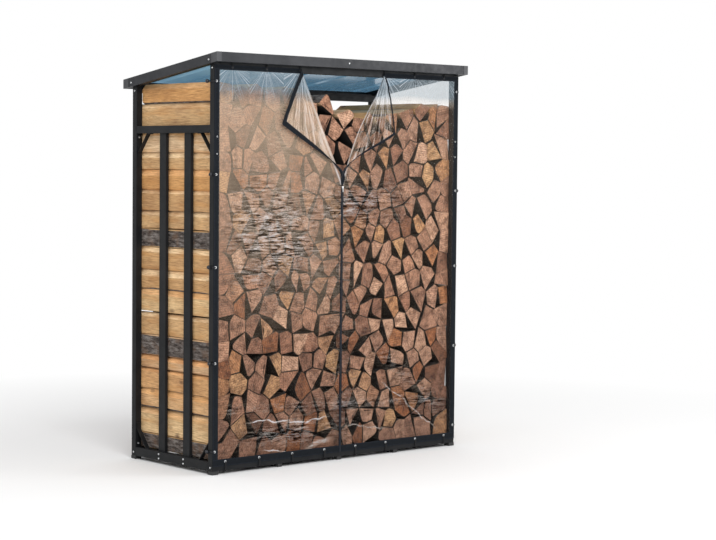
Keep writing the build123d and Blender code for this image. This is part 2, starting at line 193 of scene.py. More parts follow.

# Roof sheets. Thin coated steel rolled with a low swage in each pan and lapped over raised seams:
# anthracite on top, and a smooth back coat underneath, its blue-grey a painted reflection of the sky.
roof_top = (0.05, 0.054, 0.06)
# The blue-grey of the underside is a painted reflection of the sky.
painted_sky_blue = (0.13, 0.28, 0.42)
sheet_coat_painted_sky, tree, shader = finish("sheet_coat_painted_sky", roof_top, 0.3)
point = place_of(tree)
facing_up = node(tree, "SeparateXYZ", {"Vector": node(tree, "NewGeometry").outputs["Normal"]}).outputs["Z"]
upper = spread(tree, facing_up, -0.1, 0.1)
stain = spread(tree, grain(tree, point, 9.0, 5.0), 0.35, 0.75)
painted_sky_underside = blend(tree, "MIX", stain, painted_sky_blue, (0.155, 0.31, 0.45))
edge = node(tree, "SeparateXYZ", {"Vector": point}).outputs["X"]
# Painted light and shade on the underside: paler toward the left end, darker from the middle to the right
# end.
painted_sky_underside = blend(tree, "MIX", spread(tree, edge, -0.68, -0.3, 0.6, 0.0), painted_sky_underside, (0.3, 0.52, 0.7))
painted_sky_underside = blend(tree, "MIX", spread(tree, edge, -0.3, 0.0, 0.0, 0.35), painted_sky_underside, (0.05, 0.13, 0.22))
top_coat = blend(tree, "MIX", stain, roof_top, (0.09, 0.094, 0.1))
tree.links.new(blend(tree, "MIX", upper, painted_sky_underside, top_coat), shader.inputs["Base Color"])
tree.links.new(spread(tree, upper, 0.0, 1.0, 0.16, 0.42), shader.inputs["Roughness"])
bump(tree, shader, grain(tree, place_of(tree, (1.0, 0.25, 1.0)), 9.0, 2.0), 0.0006, 0.3)
coat_nodes("roof_sheet", sheet_coat_painted_sky)

# Screws. Zinc plated button heads with a round socket, through the slats' feet, the posts, the corner
# braces and the trims. The plating is a little duller where it is worn.
MM = 0.001
zinc, tree, shader = finish("zinc", (0.62, 0.63, 0.64), 0.3, 1.0)
wear = grain(tree, place_of(tree), 900.0, 3.0)
tree.links.new(spread(tree, wear, 0.3, 0.7, 0.22, 0.45), shader.inputs["Roughness"])
head_radius, head_height = 4.6 * MM, 2.6 * MM
FRONT, BACK = Vector((0, -1, 0)), Vector((0, 1, 0))
LEFT, RIGHT = Vector((-1, 0, 0)), Vector((1, 0, 0))


def aim(at, out):
    """Puts a piece made at the origin, pointing along +Z, at a point and pointing outwards."""
    return Matrix.Translation(at) @ out.to_track_quat("Z", "Y").to_matrix().to_4x4()


def turned(bm, profile, segments, place, material=0):
    """A shape spun round +Z from its (radius, height) points, listed from the outside of its foot."""
    others = set(bm.faces)
    points = [bm.verts.new(place @ Vector((radius, 0, height))) for radius, height in profile]
    line = [bm.edges.new(ends) for ends in zip(points, points[1:])]
    around = {"cent": place.translation, "axis": place.to_3x3() @ Vector((0, 0, 1)), "dvec": (0, 0, 0)}
    around |= {"angle": 2 * pi, "steps": segments, "use_merge": True, "use_normal_flip": True}
    bmesh.ops.spin(bm, geom=points + line, **around)
    skin = [face for face in bm.faces if face not in others]
    for face in skin:
        face.material_index = material
    bmesh.ops.remove_doubles(bm, verts=list({v for face in skin for v in face.verts}), dist=0.001 * MM)


def add_screw(bm, at, out, size=1.0):
    """One button head with its socket, on the surface at a point."""
    r, h = head_radius * size, head_height * size
    dome = [(r, 0), (r, h * 0.35), (r * 0.86, h * 0.78), (r * 0.6, h)]
    socket = [(r * 0.5, h), (r * 0.48, h * 0.4), (0, h * 0.4)]
    turned(bm, dome + socket, 12, aim(at, out))


def new_piece(bm, name, materials, smooth=35.0):
    """Makes the mesh an object that rides with the rack."""
    mesh = bpy.data.meshes.new(name)
    bm.to_mesh(mesh)
    bm.free()
    for material in materials:
        mesh.materials.append(material)
    mesh.shade_smooth()
    mesh.set_sharp_from_angle(angle=radians(smooth))
    piece = bpy.data.objects.new(name, mesh)
    bpy.context.scene.collection.objects.link(piece)
    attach(piece, "root")
    return piece


post_low, post_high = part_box("front_right_post")
back_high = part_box("back_left_post")[1]
rail_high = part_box("right_bottom_rail")[1]
mid_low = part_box("right_mid_rail")[0]
slats_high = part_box("right_slats")[1]
trim_low, trim_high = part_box("front_roof_trim")
side_low, side_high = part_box("right_roof_trim")
post_mid = (post_low + post_high) / 2
post_side = 32 * MM
slat_middle = slats_high.y - 25 * MM
slat_screws = (25 * MM, 45 * MM)
post_foot_screw, front_post_screw, back_post_screw = 32 * MM, 20 * MM, 22 * MM
side_trim_screw, end_trim_screw = 24 * MM, 20 * MM
brace_screw, corner_screw = 92 * MM, 17 * MM
back_trim_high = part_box("back_roof_trim")[1]
roof_slope = (trim_high.z - back_trim_high.z) / (back_trim_high.y - trim_high.y)
upper_braces = (mid_low.z - brace_screw, mid_low.z - corner_screw)
lower_braces = (rail_high.z + corner_screw, rail_high.z + brace_screw)

screws = bmesh.new()
for out, side in ((LEFT, -1), (RIGHT, 1)):
    for y in (-slat_middle, slat_middle):
        for z in slat_screws:
            add_screw(screws, Vector((side * rail_high.x, y, z)), out)
    post_heads = ((-post_mid.y, back_high.z - back_post_screw), (post_mid.y, post_high.z - front_post_screw))
    for y, top in post_heads:
        add_screw(screws, Vector((side * post_high.x, y, post_foot_screw)), out)
        add_screw(screws, Vector((side * post_high.x, y, top)), out)
    for y in (-post_mid.y, post_mid.y):
        drop = roof_slope * (y - side_low.y)
        add_screw(screws, Vector((side * side_high.x, y, side_high.z - drop - side_trim_screw)), out)
    for face_out, y in ((FRONT, -post_low.y - post_side), (BACK, post_low.y + post_side)):
        for z in upper_braces + lower_braces:
            add_screw(screws, Vector((side * post_mid.x, y, z)), face_out)
    for z in upper_braces:
        add_screw(screws, Vector((side * post_mid.x, post_low.y, z)), FRONT)
        add_screw(screws, Vector((side * post_mid.x, -post_low.y, z)), BACK)
for y, top, out in ((trim_low.y, trim_high.z, FRONT), (back_trim_high.y, back_trim_high.z, BACK)):
    add_screw(screws, Vector((0, y, top - end_trim_screw)), out, 0.9)
new_piece(screws, "frame_screws", [zinc])

# Split firewood. Air-dried logs split lengthwise from round trunks, sawn to one length and stacked
# loose on the bearers with their ends to the front. Each has its own rings about the heart of its
# trunk, torn split faces along the grain, and bark where the split left the trunk's outside.


def carried(tree, name):
    """A value or vector that the mesh carries at its points."""
    return node(tree, "Attribute", attribute_name=name, attribute_type="GEOMETRY")


def math(tree, operation, *values):
    """Two values added, multiplied or worked out in another way."""
    return node(tree, "Math", dict(enumerate(values)), operation=operation).outputs["Value"]


end_tones = [
    (0.0, (0.52, 0.305, 0.203)),
    (0.14, (0.271, 0.136, 0.0847)),
    (0.3, (0.565, 0.35, 0.243)),
    (0.44, (0.35, 0.175, 0.107)),
    (0.58, (0.678, 0.452, 0.316)),
    (0.72, (0.452, 0.237, 0.147)),
    (0.82, (0.621, 0.395, 0.203)),
    (0.92, (0.429, 0.169, 0.0621)),
    (1.0, (0.136, 0.0678, 0.0429)),
]
split_tones = [
    (0.0, (0.68, 0.46, 0.22)),
    (0.25, (0.77, 0.56, 0.31)),
    (0.45, (0.60, 0.36, 0.16)),
    (0.65, (0.80, 0.60, 0.38)),
    (0.82, (0.66, 0.35, 0.12)),
    (1.0, (0.72, 0.52, 0.33)),
]
# Brighter, more orange tones for the torn upper facets at the left wall: painted light from above.
lit_upper_tones = [
    (0.0, (0.92, 0.5, 0.2)),
    (0.4, (0.95, 0.72, 0.44)),
    (0.7, (0.95, 0.56, 0.25)),
    (1.0, (0.86, 0.48, 0.22)),
]
bark_tones = [
    (0.2, (0.014, 0.009, 0.007)),
    (0.45, (0.085, 0.066, 0.056)),
    (0.7, (0.19, 0.165, 0.15)),
    (0.95, (0.3, 0.27, 0.24)),
]
# The colour of the painted shade on the logs' sides deep in the stack.
deep_shade = (0.003, 0.0015, 0.001)
ring_pitch, saw_pitch = 0.0048, 0.0105


def end_grain():
    """The sawn end: rings and rays about the heart, saw marks, dry cracks, a darker rim that is partly
    painted shade, and painted shade low down and toward the roof.
    """
    material, tree, shader = finish("wood_end", (0.4, 0.23, 0.14), 0.8)
    point = place_of(tree)
    spots = node(tree, "SeparateXYZ", {"Vector": point}).outputs
    tone = carried(tree, "tone").outputs["Fac"]
    heart = carried(tree, "heart").outputs["Vector"]
    arm = node(tree, "VectorMath", {0: point, 1: heart}, operation="SUBTRACT").outputs["Vector"]
    arm = node(tree, "VectorMath", {0: arm, 1: (1.0, 0.0, 1.0)}, operation="MULTIPLY").outputs["Vector"]
    radius = node(tree, "VectorMath", {0: arm}, operation="LENGTH").outputs["Value"]
    wander = spread(tree, grain(tree, point, 26.0, 2.0), 0.0, 1.0, -0.006, 0.006)
    radius = math(tree, "ADD", radius, wander)
    ring = spread(tree, math(tree, "SINE", math(tree, "MULTIPLY", radius, 2 * pi / ring_pitch)), -1.0, 1.0)
    parts = node(tree, "SeparateXYZ", {"Vector": arm}).outputs
    angle = math(tree, "MULTIPLY", math(tree, "ARCTAN2", parts["Z"], parts["X"]), 9.0)
    ray_place = node(tree, "CombineXYZ", {"X": angle, "Y": radius, "Z": tone}).outputs["Vector"]
    rays = grain(tree, ray_place, 5.0, 2.0)
    split_noise = grain(tree, ray_place, 1.6, 1.0)
    crack = spread(tree, split_noise, 0.495, 0.5)
    crack = math(tree, "MULTIPLY", crack, spread(tree, split_noise, 0.5, 0.505, 1.0, 0.0))
    crack = math(tree, "MULTIPLY", crack, spread(tree, grain(tree, point, 24.0, 3.0), 0.44, 0.58))
    colour = ramp(tree, tone, end_tones)
    broad = [(0.32, (0.38, 0.3, 0.25)), (0.58, (1.22, 1.2, 1.17))]
    fine = [(0.36, (0.4, 0.35, 0.32)), (0.6, (1.3, 1.29, 1.28))]
    colour = blend(tree, "MULTIPLY", 1.0, colour, ramp(tree, grain(tree, point, 30.0, 4.0, 0.6), broad))
    colour = blend(tree, "MULTIPLY", 1.0, colour, ramp(tree, grain(tree, point, 150.0, 4.0, 0.75), fine))
    colour = blend(tree, "MULTIPLY", spread(tree, ring, 0.0, 1.0, 0.0, 0.45), colour, (0.6, 0.46, 0.36))
    colour = blend(tree, "MULTIPLY", spread(tree, rays, 0.45, 0.7, 0.0, 0.4), colour, (0.55, 0.46, 0.4))
    turn = math(tree, "MULTIPLY", tone, 40.0)
    across = math(tree, "MULTIPLY", spots["X"], math(tree, "COSINE", turn))
    across = math(tree, "ADD", across, math(tree, "MULTIPLY", spots["Z"], math(tree, "SINE", turn)))
    across = math(tree, "ADD", across, spread(tree, grain(tree, point, 60.0, 2.0), 0.0, 1.0, -0.0025, 0.0025))
    sawn = spread(tree, math(tree, "SINE", math(tree, "MULTIPLY", across, 2 * pi / saw_pitch)), -1.0, 1.0)
    colour = blend(tree, "MULTIPLY", spread(tree, sawn, 0.35, 0.9, 0.0, 0.55), colour, (0.55, 0.43, 0.36))
    # Painted shade: the ends darken toward the floor below 0.9 m and toward the roof above 1 m.
    painted_low_shade, shaded = spread(tree, spots["Z"], 0.1, 0.9, 0.9, 0.0), spread(tree, spots["Z"], 1.0, 1.6, 0.0, 0.42)
    colour = blend(tree, "MULTIPLY", math(tree, "MAXIMUM", painted_low_shade, shaded), colour, (0.6, 0.58, 0.6))
    # The darker rim is partly the wood at the log's edge and partly painted shade where the logs meet.
    rim = spread(tree, carried(tree, "rim").outputs["Fac"], 0.2, 1.0, 0.0, 0.7)
    colour = blend(tree, "MIX", rim, colour, (0.05, 0.024, 0.014))
    colour = blend(tree, "MIX", crack, colour, (0.02, 0.011, 0.007))
    tree.links.new(colour, shader.inputs["Base Color"])
    saw = grain(tree, place_of(tree, (1.0, 1.0, 0.12)), 380.0, 2.0)
    height = math(tree, "ADD", math(tree, "ADD", ring, saw), math(tree, "MULTIPLY", crack, -3.0))
    bump(tree, shader, height, 0.0007, 0.8)
    return material


def shade_inside(tree, colour):
    """Paints shade on a log's side where other logs lie against it."""
    hidden = spread(tree, carried(tree, "open").outputs["Fac"], 0.0, 1.0, 0.995, 0.0)
    return blend(tree, "MIX", hidden, colour, deep_shade)


def split_grain(name, tones):
    """A torn split face: long fibres, paler and more orange bands, and the odd knot."""
    material, tree, shader = finish(name, tones[0][1], 0.82)
    tone = carried(tree, "tone").outputs["Fac"]
    fibres = grain(tree, place_of(tree, (1.0, 0.06, 1.0)), 260.0, 6.0, 0.7)
    bands = grain(tree, place_of(tree, (1.0, 0.14, 1.0)), 30.0, 3.0)
    patches = grain(tree, place_of(tree, (1.0, 0.5, 1.0)), 11.0, 3.0)
    colour = ramp(tree, tone, tones)
    streaks = ramp(tree, fibres, [(0.3, (0.5, 0.4, 0.33)), (0.6, (1.14, 1.12, 1.1))])
    colour = blend(tree, "MULTIPLY", 1.0, colour, streaks)
    colour = blend(tree, "MIX", spread(tree, bands, 0.48, 0.64, 0.0, 0.5), colour, (0.6, 0.29, 0.09))
    colour = blend(tree, "MULTIPLY", spread(tree, patches, 0.45, 0.7, 0.0, 0.6), colour, (0.6, 0.52, 0.48))
    inputs = {"Vector": place_of(tree, (1.0, 0.6, 1.0)), "Scale": 7.0}
    from_knot = node(tree, "TexVoronoi", inputs).outputs["Distance"]
    from_knot = math(tree, "ADD", from_knot, math(tree, "MULTIPLY", fibres, 0.05))
    knot = spread(tree, from_knot, 0.06, 0.14, 0.85, 0.0)
    colour = blend(tree, "MIX", knot, colour, (0.11, 0.05, 0.028))
    tree.links.new(shade_inside(tree, colour), shader.inputs["Base Color"])
    bump(tree, shader, math(tree, "ADD", fibres, math(tree, "MULTIPLY", bands, 1.5)), 0.003, 0.8)
    return material


def bark_finish():
    """Grey-brown bark with long ridges, dark furrows and paler flakes."""
    material, tree, shader = finish("bark", (0.11, 0.09, 0.078), 0.92)
    ridges = grain(tree, place_of(tree, (1.0, 0.22, 1.0)), 95.0, 5.0, 0.65)
    flakes = grain(tree, place_of(tree, (1.0, 0.6, 1.0)), 260.0, 4.0, 0.7)
    height = math(tree, "ADD", math(tree, "MULTIPLY", ridges, 1.6), math(tree, "MULTIPLY", flakes, 0.5))
    colour = ramp(tree, spread(tree, height, 0.65, 1.45), bark_tones)
    warm = spread(tree, grain(tree, place_of(tree), 16.0, 3.0), 0.52, 0.66, 0.0, 0.55)
    colour = blend(tree, "MIX", warm, colour, (0.17, 0.095, 0.055))
    tree.links.new(shade_inside(tree, colour), shader.inputs["Base Color"])
    bump(tree, shader, height, 0.005, 0.9)
    return material


def merged_copy(name):
    """A CAD node's mesh as a bmesh, its loose triangles joined into flat faces."""
    bm = bmesh.new()
    bm.from_mesh(frame["nodes"][name].data)
    bmesh.ops.remove_doubles(bm, verts=bm.verts, dist=0.01 * MM)
    bmesh.ops.dissolve_limit(bm, angle_limit=radians(1), verts=bm.verts, edges=bm.edges)
    return bm


def logs_of(layer):
    """Each log of a layer as its outline, seen from the front, and the places of its two ends."""
    bm = merged_copy(layer)
    for cap in [f for f in bm.faces if f.normal.y < -0.9]:
        outline = [Vector((v.co.x, v.co.z)) for v in cap.verts]
        front = cap.verts[0].co.y
        back = max(other.co.y for v in cap.verts for e in v.link_edges for other in e.verts)
        yield outline, front, back
    bm.free()


SPLIT, END, BARK, TORN_LIT = 0, 1, 2, 3
firewood = sorted(n for n in frame["nodes"] if n.startswith("firewood"))
stack_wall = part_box(firewood[0])[1].x
bin_width = 20 * MM
steps_per_side = 8
above_all = 9.0
skyline = {}
for outline, _, _ in logs_of(firewood[-1]):
    for a, b in zip(outline, outline[1:] + outline[:1]):
        for i in range(steps_per_side + 1):
            p = a.lerp(b, i / steps_per_side)
            place = round(p.x / bin_width)
            skyline[place] = max(skyline.get(place, 0.0), p.y)


at_wall = stack_wall - 1 * MM
longest_bark_side = 60 * MM
bark_at_wall = 0.24
least_log_left = 0.76


def smooth(value, low, high):
    """0 below the low value, 1 above the high one, and a soft step between."""
    share = min(1.0, max(0.0, (value - low) / (high - low)))
    return share * share * (3 - 2 * share)


def skyline_at(x):
    """The height of the stack's top at a place along the front."""
    return skyline.get(round(x / bin_width), above_all)


def openness(place, front, back):
    """1 where a point of a log's side lies open to the air, down to 0 deep in the stack; it sets where shade
    is painted on the logs' sides.
    """
    wall = smooth(abs(place.x), stack_wall - 22 * MM, stack_wall - 10 * MM)
    top_there = skyline_at(place.x)
    top = smooth(place.z, top_there - 42 * MM, top_there - 12 * MM)
    ends = 0.03 * exp(-min(place.y - front, back - place.y) / (4 * MM))
    return max(wall, top, ends)


def side_kinds(outline, wood):
    """Which sides of a log are bark: the short turning ones, and now and then the one at the wall."""
    sides = [b - a for a, b in zip(outline, outline[1:] + outline[:1])]
    kinds = [SPLIT] * len(sides)
    for i, side in enumerate(sides):
        turn = sides[i - 1].angle(side)
        if radians(4) < turn < radians(34) and max(side.length, sides[i - 1].length) < longest_bark_side:
            kinds[i] = kinds[i - 1] = BARK
    to_wall = [i for i, p in enumerate(outline) if min(abs(p.x), abs((p + sides[i]).x)) > at_wall]
    if to_wall and wood.random() < bark_at_wall:
        kinds[to_wall[0]] = BARK
    return kinds


def room(outline):
    """The area inside an outline."""
    return abs(sum(a.cross(b) for a, b in zip(outline, outline[1:] + outline[:1]))) / 2


def split_again(outline, wood):
    """About half of the logs lose one more corner, where that leaves most of the log."""
    inside = [i for i, p in enumerate(outline) if abs(p.x) < at_wall]
    i = wood.choice(inside)
    less = outline[:i] + outline[i + 1 :]
    if len(inside) < len(outline):
        return outline
    loses = wood.random() < 0.6 and max(abs(p.x) for p in outline) < stack_wall - 50 * MM
    if loses and len(less) > 2 and room(less) > least_log_left * room(outline):
        return less
    return outline


def eased_outline(outline, kinds, wood):
    """The outline with its corners worn and its sides in short steps, as (point, outwards, kind)."""
    step = 13 * MM
    count = len(outline)
    sides = [outline[(i + 1) % count] - outline[i] for i in range(count)]
    ways = [side.normalized() for side in sides]
    cuts = []
    for i, p in enumerate(outline):
        before = after = wood.uniform(0.8, 2.6) * MM
        roundness = 0.5
        torn_top = p.x < -at_wall and ways[i].y < -0.9 and kinds[i] == SPLIT and wood.random() < 0.8
        if p.x > at_wall:
            before = after = wood.uniform(1.0, 2.0) * MM
        elif torn_top:
            before, after, roundness = wood.uniform(10, 20) * MM, wood.uniform(14, 32) * MM, 0.0
        elif p.x < -at_wall:
            before, after = wood.uniform(5, 14) * MM, wood.uniform(5, 12) * MM
        before, after = min(before, 0.4 * sides[i - 1].length), min(after, 0.4 * sides[i].length)
        cuts.append((before, after, roundness, TORN_LIT if torn_top else None))
    points = []
    for i, p in enumerate(outline):
        before, after, roundness, torn = cuts[i]
        start, end = p - ways[i - 1] * before, p + ways[i] * after
        middle = start.lerp(end, 0.5).lerp(p, roundness)
        points += [(start, torn or kinds[i - 1]), (middle, torn or kinds[i]), (end, kinds[i])]
        stop = outline[(i + 1) % count] - ways[i] * cuts[(i + 1) % count][0]
        pieces = max(1, round((stop - end).length / step))
        points += [(end.lerp(stop, j / pieces), kinds[i]) for j in range(1, pieces)]
    eased = []
    for i, (p, kind) in enumerate(points):
        along = points[(i + 1) % len(points)][0] - points[i - 1][0]
        eased.append((p, Vector((along.y, -along.x)).normalized(), kind))
    return eased


def ring_edges(bm, ring):
    """The edges round a closed ring of points."""
    return [bm.edges.get(ends) for ends in zip(ring, ring[1:] + ring[:1])]


def first_ring(bm, places):
    """A closed ring of points joined by edges, to extrude a piece from."""
    ring = [bm.verts.new(place) for place in places]
    for ends in zip(ring, ring[1:] + ring[:1]):
        bm.edges.new(ends)
    return ring


def next_ring(bm, ring, places):
    """Extrudes the ring once, moves the new points to their places, and returns them."""
    made = bmesh.ops.extrude_edge_only(bm, edges=ring_edges(bm, ring))["geom"]
    number = {v: i for i, v in enumerate(ring)}
    new_ring = list(ring)
    for v in made:
        if isinstance(v, bmesh.types.BMVert):
            old = next(other for other in (e.other_vert(v) for e in v.link_edges) if other in number)
            v.co = places[number[old]]
            new_ring[number[old]] = v
    return new_ring


def close_end(bm, ring, material=0):
    """Fills the last ring with one face."""
    bmesh.ops.edgeloop_fill(bm, edges=ring_edges(bm, ring), mat_nr=material)


def add_log(bm, outline, front, back, wood):
    """One split log inside the room of its CAD prism, extruded from its worn outline."""
    outline = split_again(outline, wood)
    kinds = side_kinds(outline, wood)
    ring_points = eased_outline(outline, kinds, wood)
    middle = sum((p for p, _, _ in ring_points), Vector((0, 0))) / len(ring_points)
    inner = min((p - middle).length for p, _, _ in ring_points)
    reach = max((p - middle).length for p, _, _ in ring_points)
    bark_out = sum((n for _, n, kind in ring_points if kind == BARK), Vector((0, 0)))
    turn = wood.uniform(0, 2 * pi)
    away = -bark_out.normalized() if bark_out.length > 0 else Vector((cos(turn), sin(turn)))
    heart_at = middle + away * wood.uniform(15, 80) * MM
    heart, tone = Vector((heart_at.x, 0, heart_at.y)), wood.random()
    lean = (wood.uniform(-0.07, 0.07), wood.uniform(-0.07, 0.07))
    seed = Vector((wood.uniform(0, 90), wood.uniform(0, 90), wood.uniform(0, 90)))
    on_wall = abs(middle.x) + reach > stack_wall - 20 * MM
    on_top = middle.y + reach > skyline_at(middle.x) - 30 * MM
    side_depth = 5.0 if middle.x < 0 else 0.4
    wall_gap, wall_relief = wood.uniform(0, side_depth) * MM, 0.45 * side_depth * MM
    fine_depth, end_wear = (0.3 * MM, -0.1 * MM) if on_wall else (0.7 * MM, 0.8 * MM)
    proud = 0.35 * MM if on_wall else 0.0
    bulge = 3 * MM
    pieces = 26 if on_wall or on_top else 7
    between = [0.02 + 0.96 * i / pieces for i in range(1, pieces)]
    share_of = [0.0, 0.0026, 0.02, *between, 0.98, 0.9974, 1.0]
    deepest = 0.2 * MM if on_wall else min(wood.uniform(0.4, 2.8) * MM, 0.12 * inner)

    log = bmesh.new()
    for layer_name in ("tone", "rim", "open"):
        log.verts.layers.float.new(layer_name)
    heart_mark = log.verts.layers.float_vector.new("heart")
    tone_mark, rim_mark, open_mark = (log.verts.layers.float[n] for n in ("tone", "rim", "open"))

    def end_lean(p, share):
        """How far a point lies back from the end, whose saw cut leans a little."""
        slope = (p.x - middle.x) * lean[0] + (p.y - middle.y) * lean[1]
        lean_in = (slope + reach * (abs(lean[0]) + abs(lean[1]))) * (1 - 2 * share)
        return 0.0 if on_wall and share > 0.5 else lean_in

    def skin(share):
        """The points round the log at a share of its length."""
        y = front + (back - front) * share
        at_end = share in (0.0, 1.0)
        for p, out, kind in ring_points:
            coarse = noise.noise(Vector((p.x * 24, y * 3.5, p.y * 24)) + seed)
            fine = noise.noise(Vector((p.x * 95, y * (60 if kind == BARK else 12), p.y * 95)) + seed)
            by_wall = smooth(abs(p.x), stack_wall - 14 * MM, stack_wall - 2 * MM)
            by_wall *= smooth(min(share, 1 - share), 0.06, 0.16)
            depth = (0.5 + 0.5 * coarse) * (deepest + by_wall * wall_relief) + (0.5 + 0.5 * fine) * fine_depth
            depth += wall_gap * by_wall + (end_wear if at_end else 0.0) - proud
            if on_wall and (middle.x > 0 or abs(p.x) < stack_wall - 24 * MM):
                depth -= bulge * smooth(share, 0.08, 0.25) * (1 - abs(out.x))
            q = p - out * min(depth, 0.4 * inner)
            yield Vector((q.x, y + end_lean(p, share), q.y))

    def sawn(ring, inset, share):
        """The points of a ring drawn in over the sawn end."""
        for v in ring:
            arm = Vector((v.co.x - middle.x, v.co.z - middle.y))
            q = middle + arm * max(0.3, 1 - inset / max(arm.length, 1 * MM))
            rough = 0.5 * MM * noise.noise(Vector((q.x * 130, 3.0, q.y * 130)) + seed)
            y = (front if share == 0.0 else back) + end_lean(q, share)
            yield Vector((q.x, y + rough * (1 - 2 * share), q.y))

    def mark(ring, places, rim):
        """Gives the ring's points what the wood's materials read."""
        for v, place in zip(ring, places):
            v[heart_mark], v[tone_mark], v[rim_mark] = heart, tone, rim
            v[open_mark] = openness(place, front, back)

    rings = []
    for share in share_of:
        places = list(skin(share))
        rings.append(next_ring(log, rings[-1], places) if rings else first_ring(log, places))
        mark(rings[-1], places, 1.0 if share in (0.0, 1.0) else 0.0)
        if len(rings) > 1:
            for edge, (_, _, kind) in zip(ring_edges(log, rings[-1]), ring_points):
                edge.link_faces[0].material_index = kind
    for ring, share in ((rings[0], 0.0), (rings[-1], 1.0)):
        # The rim weights of the two inset rings: the dark rim is partly painted shade where the logs meet.
        for inset, rim in ((1.8 * MM, 0.35), (11 * MM, 0.0)):
            places = list(sawn(ring, inset, share))
            ring = next_ring(log, ring, places)
            mark(ring, places, rim)
            for edge in ring_edges(log, ring):
                edge.link_faces[0].material_index = END
        close_end(log, ring, END)
    bmesh.ops.recalc_face_normals(log, faces=log.faces)
    if log.calc_volume(signed=True) < 0:
        bmesh.ops.reverse_faces(log, faces=log.faces)
    one_log = bpy.data.meshes.new("one_log")
    log.to_mesh(one_log)
    log.free()
    bm.from_mesh(one_log)
    bpy.data.meshes.remove(one_log)


wood = Random(11)
wood_materials = [split_grain("wood_split", split_tones), end_grain(), bark_finish()]
# The torn upper facets get the split grain in these brighter tones, as painted light from above.
wood_materials.append(split_grain("wood_torn_lit", lit_upper_tones))
for layer in firewood:
    bm = bmesh.new()
    for outline, front, back in logs_of(layer):
        add_log(bm, outline, front, back, wood)
    split_logs = new_piece(bm, f"split_logs_{layer[-1]}", wood_materials, 27.0)
    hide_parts(layer)

# Clear cover. Two panels of soft clear film about half a millimetre thick, tied over the top beam and
# under the bottom rail in front of the posts. The zip between them is open at the top, so both upper
# corners hang folded out over the front, and the film keeps the creases of its packing.
panel_low, panel_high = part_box("cover_right_panel")
zip_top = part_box("cover_zip")[1].z
film_y = (panel_low.y + panel_high.y) / 2
film_foot, film_head, film_width = panel_low.z, panel_high.z, panel_high.x
fold_foot = Vector((0.0, zip_top))
fold_head = Vector((260 * MM, film_head))
fold_run = fold_head - fold_foot
fold_way = fold_run.normalized()
fold_out = Vector((-fold_way.y, fold_way.x))
corner = Vector((0.0, film_head)) - fold_foot
corner_along, corner_out = corner.dot(fold_way), corner.dot(fold_out)
mirrored_corner = corner_along * fold_way - corner_out * fold_out
fold_radius = 5 * MM
# The width of the painted highlight along the fold.
glint_width = 5 * MM
flap_stand = 0.05
flap_bow = 62 * MM
flap_ripple = 2.6 * MM
flap_tips = {-1: Vector((388 * MM, 274 * MM)), 1: Vector((322 * MM, 240 * MM))}
fold_bows = {-1: 0.0, 1: 26 * MM}
# How strongly the painted highlight and shade streaks show on each flap.
flap_painted_streaks = {-1: 0.6, 1: 1.0}
top_places = (255 * MM, 447 * MM, 638 * MM)
# Long creases, each drawn as a thin painted highlight: start, end, width and strength.
crease_highlights = [
    ((-0.56, 0.213), (-0.05, 0.2), 0.005, 0.95),
    ((-0.47, 0.083), (-0.12, 0.05), 0.004, 0.9),
    ((-0.22, 0.075), (-0.02, 0.1), 0.014, 0.6),
    ((0.25, 0.35), (0.63, 0.08), 0.005, 0.7),
    ((0.02, 0.16), (0.3, 0.12), 0.004, 0.6),
]
zip_side = 0.6 * MM
rows_below, rows_above = 230, 100
columns, flap_columns = 130, 46


def crumple(side, u, z):
    """How far the film stands out at a flat point, and how much it is crumpled there.

    Each sum below is one bundle of creases on the cover: its middle, its reach and its slope.
    """
    x = side * u
    free = smooth(film_width - u, 34 * MM, 90 * MM) * smooth(z, 62 * MM, 120 * MM)
    free *= smooth(film_head - 30 * MM - z, 0.0, 60 * MM)
    slack = 3.2 * noise.noise(Vector((x * 3.2, 7.0 + side, z * 2.4)))
    slack += 1.6 * noise.noise(Vector((x * 9, 3.0, z * 5)))
    packed = exp(-(((x + 0.40) / 0.27) ** 2) - ((z - 1.04) / 0.24) ** 2)
    packed += 0.9 * exp(-(((x - 0.17) / 0.22) ** 2) - ((z - 1.19) / 0.09) ** 2)
    packed += 0.8 * exp(-(((x + 0.30) / 0.26) ** 2) - ((z - 0.15) / 0.06) ** 2)
    packed += 0.7 * exp(-(((x - 0.45) / 0.26) ** 2) - ((z - 0.33 + 0.8 * (x - 0.45)) / 0.05) ** 2)
    packed += 0.6 * exp(-(((z - 0.26 + 0.03 * x) / 0.022) ** 2)) + 0.3 * exp(-((x / 0.08) ** 2)) + 0.06
    waves = noise.noise(Vector((x * 14 + z * 5, 11.0, z * 62 - x * 15)))
    waves += 0.5 * noise.noise(Vector((x * 34, 23.0, z * 120 + x * 30)))
    fans = 0.0
    for eyelet in top_places:
        away = film_head - z
        wide = 8 * MM + away * 0.34
        fans += exp(-(((u - eyelet) / wide) ** 2)) * exp(-away / 0.12) * sin((u - eyelet) / wide * 9)
    out = free * (slack + 2.4 * packed * waves) + 2.2 * fans * smooth(film_head - z, 14 * MM, 50 * MM)
    return out * MM, min(1.0, free * packed + 0.5 * abs(fans))


